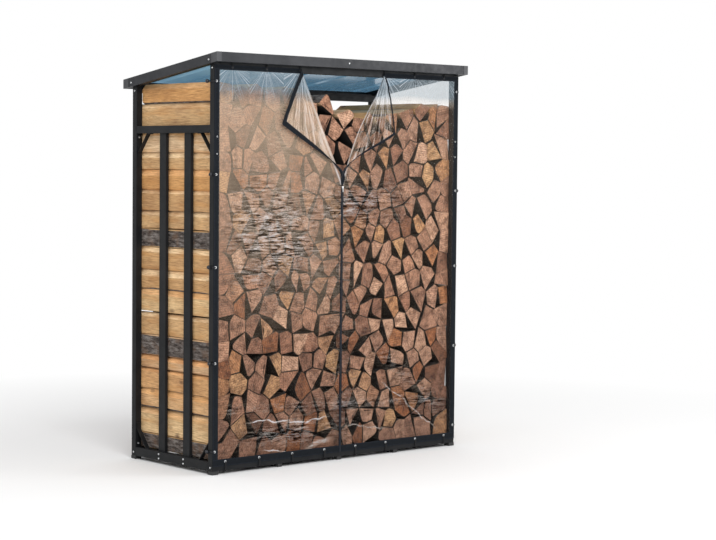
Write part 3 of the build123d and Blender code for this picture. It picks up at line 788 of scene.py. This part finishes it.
def hang(side, u, z):
    """Where a point of the flat film hangs, how crumpled and folded out it is, and its painted highlight at
    the fold.
    """
    out, crumpled = crumple(side, u, z)
    at = Vector((u, z)) - fold_foot
    along, over = at.dot(fold_way), at.dot(fold_out)
    # A painted highlight along the fold line.
    glint = 0.8 * exp(-((over / glint_width) ** 2))
    run = along / corner_along
    near_fold = sin(pi * min(1.0, max(0.0, run))) * fold_bows[side]
    if over <= 0 or z < fold_foot.y:
        shift = near_fold * exp(-((over / 0.12) ** 2)) * fold_out
        place = Vector((side * (u + shift.x), film_y - out, z + shift.y))
        return place, (crumpled, 0.0, glint if run > 0.02 else 0.0)
    turned_by = over / fold_radius
    if turned_by < pi:
        across, forward = fold_radius * sin(turned_by), fold_radius * (1 - cos(turned_by))
    else:
        rest = over - pi * fold_radius
        across, forward = -rest, 2 * fold_radius + flap_stand * rest
    share = over / corner_out
    droop = mirrored_corner - flap_tips[side]
    place = fold_foot + along * fold_way + (across + near_fold * (1 - share)) * fold_out - share**1.3 * droop
    edge = min(1.0, over / max(1e-6, along * corner_out / corner_along))
    run = min(1.0, max(0.0, run))
    reach = flap_tips[side]
    bow_way = Vector((-reach.y, reach.x)).normalized()
    place += bow_way * flap_bow * (1 - run) ** 1.3 * (1 - exp(-run / 0.08)) * edge * edge
    ripple = flap_ripple * noise.noise(Vector((u * 26, side * 5.0, z * 18))) * smooth(over, 0.0, 30 * MM)
    place = Vector((side * place.x, film_y - forward - ripple, place.y))
    return place, (0.0, flap_painted_streaks[side], glint)


def film_mesh(side):
    """The panel and its flap as two grids of film, joined along the fold."""
    bm = bmesh.new()
    for name in ("crumpled", "folded", "glint"):
        bm.verts.layers.float.new(name)
    flat = bm.verts.layers.float_vector.new("flat")
    marks = [bm.verts.layers.float[name] for name in ("crumpled", "folded", "glint")]

    def hung_grid(rows):
        """A grid with a point for each flat (across, height), hung in its place."""
        across, up = len(rows[0]) - 1, len(rows) - 1
        grid = bmesh.ops.create_grid(bm, x_segments=across, y_segments=up, size=1.0)["verts"]
        for v, (u, z) in zip(grid, (point for row in rows for point in row)):
            v.co, amounts = hang(side, u, z)
            v[flat] = Vector((u, z, 0))
            for mark, amount in zip(marks, amounts):
                v[mark] = amount

    edge = film_width - zip_side
    heights = [film_foot + (fold_foot.y - film_foot) * i / rows_below for i in range(rows_below)]
    heights += [fold_foot.y + (film_head - fold_foot.y) * i / rows_above for i in range(rows_above + 1)]
    panel, flap = [], []
    for z in heights:
        start = max(zip_side, (z - fold_foot.y) / fold_run.y * fold_head.x)
        panel.append([(start + (edge - start) * i / columns, z) for i in range(columns + 1)])
        if z > fold_foot.y + 1 * MM:
            shares = [(1 - i / flap_columns) ** 1.6 for i in range(flap_columns + 1)]
            flap.append([(max(0.0, start * (1 - share)), z) for share in shares])
    hung_grid(panel)
    hung_grid(flap)
    if side < 0:
        bmesh.ops.reverse_faces(bm, faces=bm.faces)
    bmesh.ops.remove_doubles(bm, verts=bm.verts, dist=0.02 * MM)
    return bm


def clear_film():
    """Clear soft film: it mirrors faintly, shows its creases as fine lines of painted shade and painted
    highlight, and its milk carries painted light.
    """
    material, tree, shader = finish("clear_film", (0.9, 0.92, 0.93), 0.1)
    output = tree.nodes["Material Output"]
    tree.nodes.remove(shader)
    point = place_of(tree)
    crumpled = carried(tree, "crumpled").outputs["Fac"]
    parts = node(tree, "SeparateXYZ", {"Vector": point}).outputs

    def creases(turn, stretch, scale):
        """Long thin lumps that lie along a direction turned down by an angle."""
        inputs = {"Vector": point, "Rotation": (0.0, radians(turn), 0.0), "Scale": (1.0, 1.0, stretch)}
        return grain(tree, node(tree, "Mapping", inputs).outputs["Vector"], scale, 3.0, 0.6)

    fine, coarse = creases(-13, 8.0, 16.0), creases(-30, 6.0, 15.0)
    lines = math(tree, "ADD", math(tree, "MULTIPLY", fine, 0.62), math(tree, "MULTIPLY", coarse, 0.38))
    patches = spread(tree, grain(tree, point, 10.0, 2.0), 0.38, 0.56, 0.5, 1.35)
    on_flap = carried(tree, "folded").outputs["Fac"]
    on_panel = math(tree, "SUBTRACT", 1.0, on_flap)

    def ridge(level, width):
        """A thin line where the creases pass a level."""
        away = math(tree, "ABSOLUTE", math(tree, "SUBTRACT", lines, level))
        return spread(tree, away, 0.3 * width, width, 1.0, 0.0)

    # Painted highlight and painted shade lines along the creases, where the film is packed.
    packed = math(tree, "MULTIPLY", math(tree, "MULTIPLY", crumpled, patches), on_panel)
    pale = spread(tree, lines, 0.56, 0.6, 0.0, 0.55)
    pale = math(tree, "MAXIMUM", pale, math(tree, "MULTIPLY", ridge(0.53, 0.012), 0.7))
    black = spread(tree, lines, 0.468, 0.447)
    black = math(tree, "MAXIMUM", black, math(tree, "MULTIPLY", ridge(0.505, 0.014), 0.7))
    bright, dark = math(tree, "MULTIPLY", pale, packed), math(tree, "MULTIPLY", black, packed)
    beside = math(tree, "SUBTRACT", math(tree, "ABSOLUTE", parts["X"]), fold_head.x)
    below = math(tree, "SUBTRACT", fold_head.y + 20 * MM, parts["Z"])
    fan = {"X": math(tree, "MULTIPLY", math(tree, "ARCTAN2", beside, below), 16.0)}
    fan["Y"] = math(tree, "MULTIPLY", parts["Z"], 5.0)
    fan["Z"] = parts["X"]
    fans = grain(tree, node(tree, "CombineXYZ", fan).outputs["Vector"], 1.4, 4.0, 0.65)
    # On the flaps, fans of painted highlight streaks run down from the fold head.
    pale_fans = math(tree, "MULTIPLY", spread(tree, fans, 0.5, 0.62, 0.0, 0.75), on_flap)
    bright = math(tree, "ADD", bright, pale_fans)
    # The painted highlight along the fold.
    bright = math(tree, "MAXIMUM", bright, carried(tree, "glint").outputs["Fac"])
    wander = spread(tree, grain(tree, point, 11.0, 3.0), 0.0, 1.0, -0.03, 0.03)
    # Each long crease is drawn as a thin painted highlight line.
    for start, end, width, strength in crease_highlights:
        start, end = Vector((start[0], 0, start[1])), Vector((end[0], 0, end[1]))
        way = end - start
        arm = node(tree, "VectorMath", {0: point, 1: start}, operation="SUBTRACT").outputs["Vector"]
        inputs = {0: arm, 1: way.normalized()}
        along = node(tree, "VectorMath", inputs, operation="DOT_PRODUCT").outputs["Value"]
        inputs = {0: arm, 1: Vector((-way.z, 0, way.x)).normalized()}
        across = node(tree, "VectorMath", inputs, operation="DOT_PRODUCT").outputs["Value"]
        across = math(tree, "ABSOLUTE", math(tree, "ADD", across, wander))
        line = spread(tree, across, 0.3 * width, width, strength, 0.0)
        line = math(tree, "MULTIPLY", line, spread(tree, along, 0.0, 0.05))
        line = math(tree, "MULTIPLY", line, spread(tree, along, way.length - 0.07, way.length, 1.0, 0.0))
        line = math(tree, "MULTIPLY", line, spread(tree, fine, 0.4, 0.5, 0.25, 1.0))
        bright = math(tree, "MAXIMUM", bright, line)
    # Fans of creases below the top eyelets, drawn as painted highlights.
    wide = math(tree, "SUBTRACT", math(tree, "ABSOLUTE", parts["X"]), top_places[0])
    pitch = (top_places[2] - top_places[0]) / 2
    nearest = math(tree, "ROUND", math(tree, "DIVIDE", wide, pitch))
    beside = math(tree, "SUBTRACT", wide, math(tree, "MULTIPLY", nearest, pitch))
    drop = math(tree, "SUBTRACT", film_head, parts["Z"])
    ray = math(tree, "MULTIPLY", math(tree, "ARCTAN2", beside, drop), 14.0)
    ray_place = node(tree, "CombineXYZ", {"X": ray, "Y": drop, "Z": parts["X"]}).outputs["Vector"]
    rays = spread(tree, grain(tree, ray_place, 1.6, 3.0), 0.55, 0.64)
    rays = math(tree, "MULTIPLY", rays, spread(tree, drop, 0.03, 0.17, 0.6, 0.0))
    rays = math(tree, "MULTIPLY", math(tree, "MULTIPLY", rays, spread(tree, wide, -0.06, -0.03)), on_panel)
    bright = math(tree, "MAXIMUM", bright, rays)
    # On the flaps, fans of painted shade streaks.
    dark_fans = math(tree, "MULTIPLY", spread(tree, fans, 0.47, 0.38, 0.0, 0.6), on_flap)
    dark = math(tree, "ADD", dark, dark_fans)
    height = math(tree, "MULTIPLY", lines, math(tree, "ADD", packed, 0.08))
    normal = node(tree, "Bump", {"Height": height, "Distance": 0.02, "Strength": 0.6}).outputs["Normal"]
    facing = node(tree, "LayerWeight", {"Blend": 0.5, "Normal": normal}).outputs["Facing"]
    gloss = spread(tree, math(tree, "POWER", facing, 4.0), 0.0, 1.0, 0.0, 0.4)
    # Painted shade: the see-through colour darkens along the dark crease lines.
    tint = blend(tree, "MIX", dark, (0.97, 0.975, 0.975), (0.05, 0.04, 0.04))
    clear = node(tree, "BsdfTransparent", {"Color": tint}).outputs["BSDF"]
    mirror = {"Color": (1, 1, 1, 1), "Roughness": 0.1, "Normal": normal}
    mirror = node(tree, "BsdfGlossy", mirror).outputs["BSDF"]
    high = spread(tree, parts["Z"], 0.55, 1.47)
    left = spread(tree, parts["X"], 0.1, -0.14, 0.07, 1.0)
    cloud = spread(tree, grain(tree, place_of(tree, (1.0, 1.0, 0.6)), 4.0, 4.0), 0.3, 0.7, 0.55, 1.25)
    haze_and_painted_light = math(tree, "MULTIPLY", math(tree, "MULTIPLY", high, left), cloud)
    # Painted reflection of the sky: the milk turns blue-grey and thicker at the top; below, it takes the
    # logs' warm colour as painted light from them.
    sky = spread(tree, math(tree, "ADD", parts["Z"], math(tree, "MULTIPLY", cloud, 0.03)), 1.66, 1.72)
    warmth = blend(tree, "MIX", sky, (0.72, 0.54, 0.39), (0.2, 0.25, 0.28))
    painted_light_milk_tone = blend(tree, "MIX", bright, warmth, (0.78, 0.8, 0.86))
    milk_and_painted_light = node(tree, "BsdfDiffuse", {"Color": painted_light_milk_tone}).outputs["BSDF"]
    haze_and_painted_light = math(tree, "MAXIMUM", spread(tree, haze_and_painted_light, 0.0, 1.0, 0.003, 0.36), math(tree, "MULTIPLY", sky, 0.5))
    haze_and_painted_light = math(tree, "MULTIPLY", haze_and_painted_light, spread(tree, dark, 0.0, 1.0, 1.0, 0.15))
    # The painted highlights also thicken the milk.
    haze_and_painted_light = math(tree, "ADD", haze_and_painted_light, math(tree, "MULTIPLY", bright, 0.58))
    seen = node(tree, "MixShader", {"Fac": gloss, 1: clear, 2: mirror}).outputs["Shader"]
    seen = node(tree, "MixShader", {"Fac": haze_and_painted_light, 1: seen, 2: milk_and_painted_light}).outputs["Shader"]
    tree.links.new(seen, output.inputs["Surface"])
    return material


film_look = clear_film()
for name, side in (("left", -1), ("right", 1)):
    film = new_piece(film_mesh(side), f"clear_film_{name}", [film_look], 60.0)
    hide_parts(f"cover_{name}_panel", f"cover_{name}_flap")

# Hems, zip tapes and flap edges. Dark navy woven tape folded over the edges of the film and sewn with
# a row of stitches near each edge.
stitch_pitch = 0.0042


def woven_tape():
    """Navy tape with a fine weave and a row of stitches near each edge."""
    material, tree, shader = finish("navy_tape", (0.005, 0.007, 0.01), 0.75)
    shader.inputs["Specular IOR Level"].default_value = 0.15
    flat = node(tree, "SeparateXYZ", {"Vector": carried(tree, "flat").outputs["Vector"]}).outputs
    weave = node(tree, "TexChecker", {"Vector": place_of(tree), "Scale": 1400.0}).outputs["Fac"]
    run = math(tree, "SINE", math(tree, "MULTIPLY", flat["X"], 2 * pi / stitch_pitch))
    across = spread(tree, flat["Y"], 0.0022, 0.0026)
    across = math(tree, "MULTIPLY", across, spread(tree, flat["Y"], 0.0032, 0.0036, 1.0, 0.0))
    stitch = math(tree, "MULTIPLY", across, spread(tree, run, -0.5, -0.2))
    worn = spread(tree, grain(tree, place_of(tree), 60.0, 4.0), 0.45, 0.75, 0.0, 0.6)
    colour = blend(tree, "MIX", worn, (0.004, 0.006, 0.009), (0.009, 0.012, 0.017))
    colour = blend(tree, "MIX", stitch, colour, (0.03, 0.036, 0.055))
    tree.links.new(colour, shader.inputs["Base Color"])
    bump(tree, shader, math(tree, "ADD", weave, stitch), 0.0004, 0.6)
    return material


tape_front, tape_back = 1.3 * MM, 0.6 * MM
tape_columns = 5
narrow_run = 60 * MM
navy = woven_tape()


def surface(side, u, z, lift):
    """A point at a height over the film's outer face, and the way out from it."""
    step = 1 * MM
    middle = hang(side, u, z)[0]
    across = hang(side, u + step, z)[0] - middle
    up = hang(side, u, z + step)[0] - middle
    out = (side * across.cross(up)).normalized()
    return middle + out * lift, out


def band(bm, side, start, end, width_way, width, steps, narrow=0.0):
    """A strip of folded tape along a line on the film, its first part narrower if so asked."""
    flat = bm.verts.layers.float_vector["flat"]
    start, end, width_way = Vector(start), Vector(end), Vector(width_way)
    long = (end - start).length
    outside = [(j / tape_columns, tape_front) for j in range(tape_columns + 1)]
    inside = [(j / tape_columns, -tape_back) for j in range(tape_columns, -1, -1)]
    rings = []
    for i in range(steps + 1):
        on_line = start.lerp(end, i / steps)
        here = width * (1 - narrow * exp(-long * i / steps / narrow_run))
        places = []
        for share, lift in outside + inside:
            at = on_line + width_way * here * share
            places.append(surface(side, at.x, at.y, lift)[0])
        rings.append(next_ring(bm, rings[-1], places) if rings else first_ring(bm, places))
        for v, (share, _) in zip(rings[-1], outside + inside):
            v[flat] = Vector((long * i / steps, width * min(share, 1 - share), 0))
    for ring in (rings[0], rings[-1]):
        close_end(bm, ring)


def taped(name, replaced, bands):
    """One piece of the sewn tapes, from (side, start, end, way of its width, width, steps) each."""
    bm = bmesh.new()
    bm.verts.layers.float_vector.new("flat")
    for one in bands:
        band(bm, *one)
    bmesh.ops.recalc_face_normals(bm, faces=bm.faces)
    piece = new_piece(bm, name, [navy], 40.0)
    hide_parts(*replaced)
    return piece


side_hem, bottom_hem, top_hem, zip_tape = 26 * MM, 32 * MM, 22 * MM, 7 * MM
flap_tapes = {-1: 22 * MM, 1: 11 * MM}
film_edge = film_width - 0.3 * MM
UP, DOWN, IN, OUT = (0, 1), (0, -1), (-1, 0), (1, 0)
for name, side in (("left", -1), ("right", 1)):
    foot = (side, (zip_tape, film_foot), (film_edge, film_foot), UP, bottom_hem, 120)
    edge = (side, (film_edge, film_foot + bottom_hem), (film_edge, film_head - top_hem), IN, side_hem, 240)
    head = (side, (fold_head.x, film_head), (film_edge, film_head), DOWN, top_hem, 90)
    taped(f"hems_{name}", [f"cover_{name}_hems"], [foot, edge, head])
loose_edges = []
for side in (-1, 1):
    tape = flap_tapes[side]
    loose_edges.append((side, (0.0, fold_foot.y + 4 * MM), (0.0, film_head), OUT, tape, 140, 0.8))
    loose_edges.append((side, (tape, film_head), (fold_head.x, film_head), DOWN, tape, 60))
flap_edges = taped("flap_edges", ["cover_flap_edges"], loose_edges)
halves = [(side, (0.2 * MM, film_foot), (0.2 * MM, fold_foot.y), OUT, zip_tape, 240) for side in (-1, 1)]
zip_tapes = taped("zip_tapes", ["cover_zip"], halves)

# Zip. Dark moulded teeth along both tapes, closed up to the foot of the opening, with a slider and its
# pull there.
dark_plastic, tree, shader = finish("dark_plastic", (0.009, 0.01, 0.014), 0.35)
bump(tree, shader, grain(tree, place_of(tree), 700.0, 2.0), 0.0002, 0.4)
tooth_pitch = 3.2 * MM
closed_tooth, open_tooth = Vector((4.2, 1.3, 1.5)) * MM, Vector((2.4, 1.2, 1.6)) * MM


def add_block(bm, at, size, turn=None):
    """A block of a size about a point."""
    place = Matrix.Translation(at) @ (turn.to_4x4() if turn else Matrix()) @ Matrix.Diagonal((*size, 1.0))
    return bmesh.ops.create_cube(bm, size=1.0, matrix=place)["verts"]


teeth = bmesh.new()
closed = int((fold_foot.y - film_foot) / tooth_pitch)
for i in range(closed):
    side = -1 if i % 2 else 1
    at, _ = surface(side, 0.9 * MM, film_foot + 2 * MM + i * tooth_pitch, tape_front + 0.7 * MM)
    add_block(teeth, at, closed_tooth)
for i in range(int(corner.length / tooth_pitch) - 4):
    for side in (-1, 1):
        z = fold_foot.y + 12 * MM + i * tooth_pitch
        at, out = surface(side, 0.8 * MM, z, tape_front + 0.5 * MM)
        add_block(teeth, at, open_tooth, out.to_track_quat("-Y", "Z").to_matrix())
zip_teeth = new_piece(teeth, "zip_teeth", [dark_plastic], 30.0)
slider = bmesh.new()
slider_at = Vector((0, film_y - 3.4 * MM, fold_foot.y - 4 * MM))
body = add_block(slider, slider_at, (10 * MM, 3.6 * MM, 13 * MM))
for v in body:
    if v.co.z < slider_at.z:
        v.co.x *= 0.66
pull_at = slider_at + Vector((0, -2.9 * MM, -11 * MM))
add_block(slider, slider_at + Vector((0, -2.6 * MM, -2 * MM)), (2.4 * MM, 1.8 * MM, 8 * MM))
add_block(slider, pull_at, (4.5 * MM, 1.2 * MM, 15 * MM))
edges = [e for e in slider.edges if e.calc_length() > 1 * MM]
worn = {"offset": 0.5 * MM, "segments": 2, "profile": 0.5, "affect": "EDGES", "clamp_overlap": True}
bmesh.ops.bevel(slider, geom=edges, material=-1, **worn)
zip_slider = new_piece(slider, "zip_slider", [zinc], 30.0)

# Eyelets, ties and toggles. Plated eyelets pressed into the hems. Black elastic runs through them: as
# short ties over the beam and under the bottom rail, and as loops round the posts that end in a ball.
elastic, tree, shader = finish("elastic", (0.006, 0.006, 0.007), 0.8)
weave = node(tree, "TexWave", {"Vector": place_of(tree), "Scale": 260.0, "Distortion": 2.0}).outputs["Fac"]
bump(tree, shader, weave, 0.0004, 0.6)
eyelet_profile = [(5.8, 0.0), (5.6, 0.5), (4.8, 1.2), (3.6, 1.5), (2.7, 0.9), (2.6, 0.0)]
knot_profile = [(2.7, 0.2), (2.2, 1.5), (0.0, 2.2)]
strand_radius = 1.5 * MM


def strand(bm, points, radius, segments=8):
    """A round cord extruded through a line of points."""
    points = [Vector(p) for p in points]
    around = [2 * pi * j / segments for j in range(segments)]
    rings = []
    for i, p in enumerate(points):
        way = (points[min(i + 1, len(points) - 1)] - points[max(i - 1, 0)]).normalized()
        across = way.cross(Vector((0.31, 0.17, 0.94)) if abs(way.z) < 0.8 else Vector((1, 0, 0))).normalized()
        up = way.cross(across)
        places = [p + radius * (cos(a) * across + sin(a) * up) for a in around]
        rings.append(next_ring(bm, rings[-1], places) if rings else first_ring(bm, places))
    for ring in (rings[0], rings[-1]):
        close_end(bm, ring)


def bent(start, bend, end, steps=6):
    """Points along a line that turns softly near a bend."""
    start, bend, end = Vector(start), Vector(bend), Vector(end)
    a = bend + (start - bend).normalized() * min(5 * MM, (start - bend).length * 0.6)
    b = bend + (end - bend).normalized() * min(5 * MM, (end - bend).length * 0.6)
    shares = [i / steps for i in range(steps + 1)]
    arc = [(1 - t) ** 2 * a + 2 * (1 - t) * t * bend + t**2 * b for t in shares]
    return [start, *arc, end]


eyelets = bmesh.new()
ties = bmesh.new()


def add_eyelet(side, u, z, size=1.0, finish_index=0):
    """A plated ring in a hem, with the elastic's knot in its hole; returns its place."""
    at, out = surface(side, u, z, tape_front)
    place = aim(at, out)
    turned(eyelets, [(r * size * MM, h * MM) for r, h in eyelet_profile], 18, place, finish_index)
    turned(ties, [(r * size * MM, h * MM) for r, h in knot_profile], 10, place)
    return at


beam_low, beam_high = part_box("front_top_beam")
foot_rail_low, foot_rail_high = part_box("front_bottom_rail")
bottom_places = (95 * MM, 285 * MM, 475 * MM, 665 * MM)
half_gap, stand_off, clearance, tuck = 2.2 * MM, 2.5 * MM, 2.0 * MM, 14 * MM
for side in (-1, 1):
    for u in top_places:
        at = add_eyelet(side, u, film_head - 10 * MM, finish_index=1)
        over = beam_high.z + clearance
        front = min(at.y, beam_low.y) - stand_off
        for shift in (-half_gap, half_gap):
            x = at.x + shift
            path = [(at.x + shift * 0.4, at.y - 1.6 * MM, at.z + 1 * MM), (x, front, at.z + 8 * MM)]
            tucked = (x, beam_low.y + tuck, over - 1.0 * MM)
            path += bent((x, front, at.z + 10 * MM), (x, front + 1 * MM, over), tucked)
            strand(ties, path, strand_radius)
    for u in bottom_places:
        at = add_eyelet(side, u, foot_rail_high.z)
        under = foot_rail_low.z - clearance
        front = at.y - stand_off
        for shift in (-half_gap, half_gap):
            x = at.x + shift
            path = [(at.x + shift * 0.4, at.y - 1.6 * MM, at.z - 1 * MM), (x, front, at.z - 6 * MM)]
            tucked = (x, foot_rail_low.y + tuck, under)
            path += bent((x, front, at.z - 8 * MM), (x, front + 1 * MM, under), tucked)
            strand(ties, path, strand_radius)
    add_eyelet(side, 62 * MM, film_head - flap_tapes[side] / 2, 0.8)
ball_radius = 9 * MM
angles = [pi * i / 10 for i in range(1, 10)]
ball_sides = [(ball_radius * sin(a), -ball_radius * cos(a)) for a in angles]
ball_profile = [(0, -ball_radius), *ball_sides, (0, ball_radius)]


def body_boxes(name):
    """The lowest and highest corner of each body of a CAD node."""
    bm = merged_copy(name)
    left = set(bm.verts)
    while left:
        edge = [left.pop()]
        body = [edge[0].co]
        while edge:
            found = {v for link in edge.pop().link_edges for v in link.verts} & left
            left -= found
            edge += found
            body += [v.co for v in found]
        yield Vector(map(min, *body)), Vector(map(max, *body))


for name, side in (("left", -1), ("right", 1)):
    loops = bmesh.new()
    for low, high in body_boxes(f"{name}_toggles"):
        z = (low.z + high.z) / 2
        at = add_eyelet(side, film_width - 11 * MM, z)
        outer = post_high.x + strand_radius
        ball = Vector((side * (post_high.x + ball_radius), high.y - ball_radius, z))
        for shift in (-1.8 * MM, 1.8 * MM):
            start = (at.x, at.y - 1.5 * MM, z + shift * 0.5)
            path = bent(start, (side * outer, at.y - 2.2 * MM, z + shift), (side * outer, ball.y, z + shift))
            strand(loops, path, strand_radius)
        turned(loops, ball_profile, 20, aim(ball, side * RIGHT))
    bmesh.ops.recalc_face_normals(loops, faces=loops.faces)
    toggles = new_piece(loops, f"toggles_{name}", [dark_plastic], 40.0)
    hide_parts(f"{name}_toggles")
bmesh.ops.recalc_face_normals(ties, faces=ties.faces)
new_piece(eyelets, "eyelets", [zinc, dark_plastic], 40.0)
new_piece(ties, "ties", [elastic], 40.0)

# The stage. A pale floor that fades into a white background, a large soft key light at the front
# left and a fill at the right. A broad light from below shines on the underside of the roof sheets
# alone, as a pale ground does. The camera stands at chest height to the left of the front.
floor_mesh = bmesh.new()
bmesh.ops.create_grid(floor_mesh, x_segments=1, y_segments=1, size=30.0)
floor_data = bpy.data.meshes.new("floor")
floor_mesh.to_mesh(floor_data)
floor_mesh.free()
floor = bpy.data.objects.new("floor", floor_data)
bpy.context.scene.collection.objects.link(floor)
floor_paint, tree, shader = finish("floor_paint", (0.9, 0.9, 0.9), 0.9)
away = node(tree, "VectorMath", {0: place_of(tree)}, operation="LENGTH").outputs["Value"]
camera_ray = node(tree, "LightPath").outputs["Is Camera Ray"]
faded = math(tree, "MULTIPLY", spread(tree, away, 1.4, 3.6), camera_ray)
glow = node(tree, "Emission", {"Color": (1, 1, 1, 1), "Strength": 1.0}).outputs["Emission"]
lit_floor = node(tree, "MixShader", {"Fac": faded, 1: shader.outputs["BSDF"], 2: glow}).outputs["Shader"]
tree.links.new(lit_floor, tree.nodes["Material Output"].inputs["Surface"])
floor_data.materials.append(floor_paint)
floor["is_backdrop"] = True

world = bpy.data.worlds.new("studio")
bpy.context.scene.world = world
world.use_nodes = True
tree = world.node_tree
background = tree.nodes["Background"]
ray = node(tree, "LightPath").outputs
seen = math(tree, "MAXIMUM", ray["Is Camera Ray"], ray["Is Transmission Ray"])
seen = math(tree, "MAXIMUM", seen, ray["Is Glossy Ray"])
world_strength = 0.8
tree.links.new(spread(tree, seen, 0.0, 1.0, world_strength, 1.0), background.inputs["Strength"])
background.inputs["Color"].default_value = (1.0, 1.0, 1.0, 1.0)


def soft_light(name, at, towards, size, watts):
    """An area lamp aimed at a point."""
    lamp = bpy.data.lights.new(name, "AREA")
    lamp.shape = "RECTANGLE"
    lamp.size, lamp.size_y = size
    lamp.energy = watts
    holder = bpy.data.objects.new(name, lamp)
    holder.matrix_world = aim(Vector(at), Vector(at) - Vector(towards))
    bpy.context.scene.collection.objects.link(holder)


soft_light("key", (-2.6, -4.6, 3.6), (0, -0.2, 0.8), (2.4, 2.4), 170)
soft_light("fill", (3.4, -3.6, 2.4), (0, 0, 0.9), (2.0, 2.0), 60)

below_roof = bpy.data.collections.new("below_roof")
for name, sheet in frame["nodes"].items():
    if slot_of[name] == "roof_sheet":
        below_roof.objects.link(sheet)
ground_light = bpy.data.lights.new("ground_light", "SUN")
ground_light.energy = 2.6
ground_light.angle = radians(60)
upwards = bpy.data.objects.new("ground_light", ground_light)
upwards.matrix_world = aim(Vector((0, 0, 0.1)), Vector((0, 0, -1)))
upwards.light_linking.receiver_collection = below_roof
upwards.light_linking.blocker_collection = below_roof
bpy.context.scene.collection.objects.link(upwards)

camera_place = Vector((-5.6556, -6.9035, 1.3631))
camera_turn, camera_tilt, camera_roll = radians(-41.139), radians(-3.165), radians(-0.5633)
lens, sensor = 94.73, 36.0
camera_data = bpy.data.cameras.new("camera")
camera_data.sensor_fit = "HORIZONTAL"
camera_data.sensor_width = sensor
camera_data.lens = lens
camera_data.clip_end = 100.0
camera = bpy.data.objects.new("camera", camera_data)
level = Matrix.Rotation(radians(90), 4, "X")
turn = Matrix.Rotation(camera_turn, 4, "Z") @ Matrix.Rotation(camera_tilt, 4, "X")
turn @= Matrix.Rotation(camera_roll, 4, "Y")
camera.matrix_world = Matrix.Translation(camera_place) @ turn @ level
bpy.context.scene.collection.objects.link(camera)
bpy.context.scene.camera = camera
bpy.context.scene.view_settings.view_transform = "Standard"

boxes = {"cad": cad_box, "visual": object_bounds()}
{k: [[float(c) for c in corner] for corner in v] for k, v in boxes.items()}
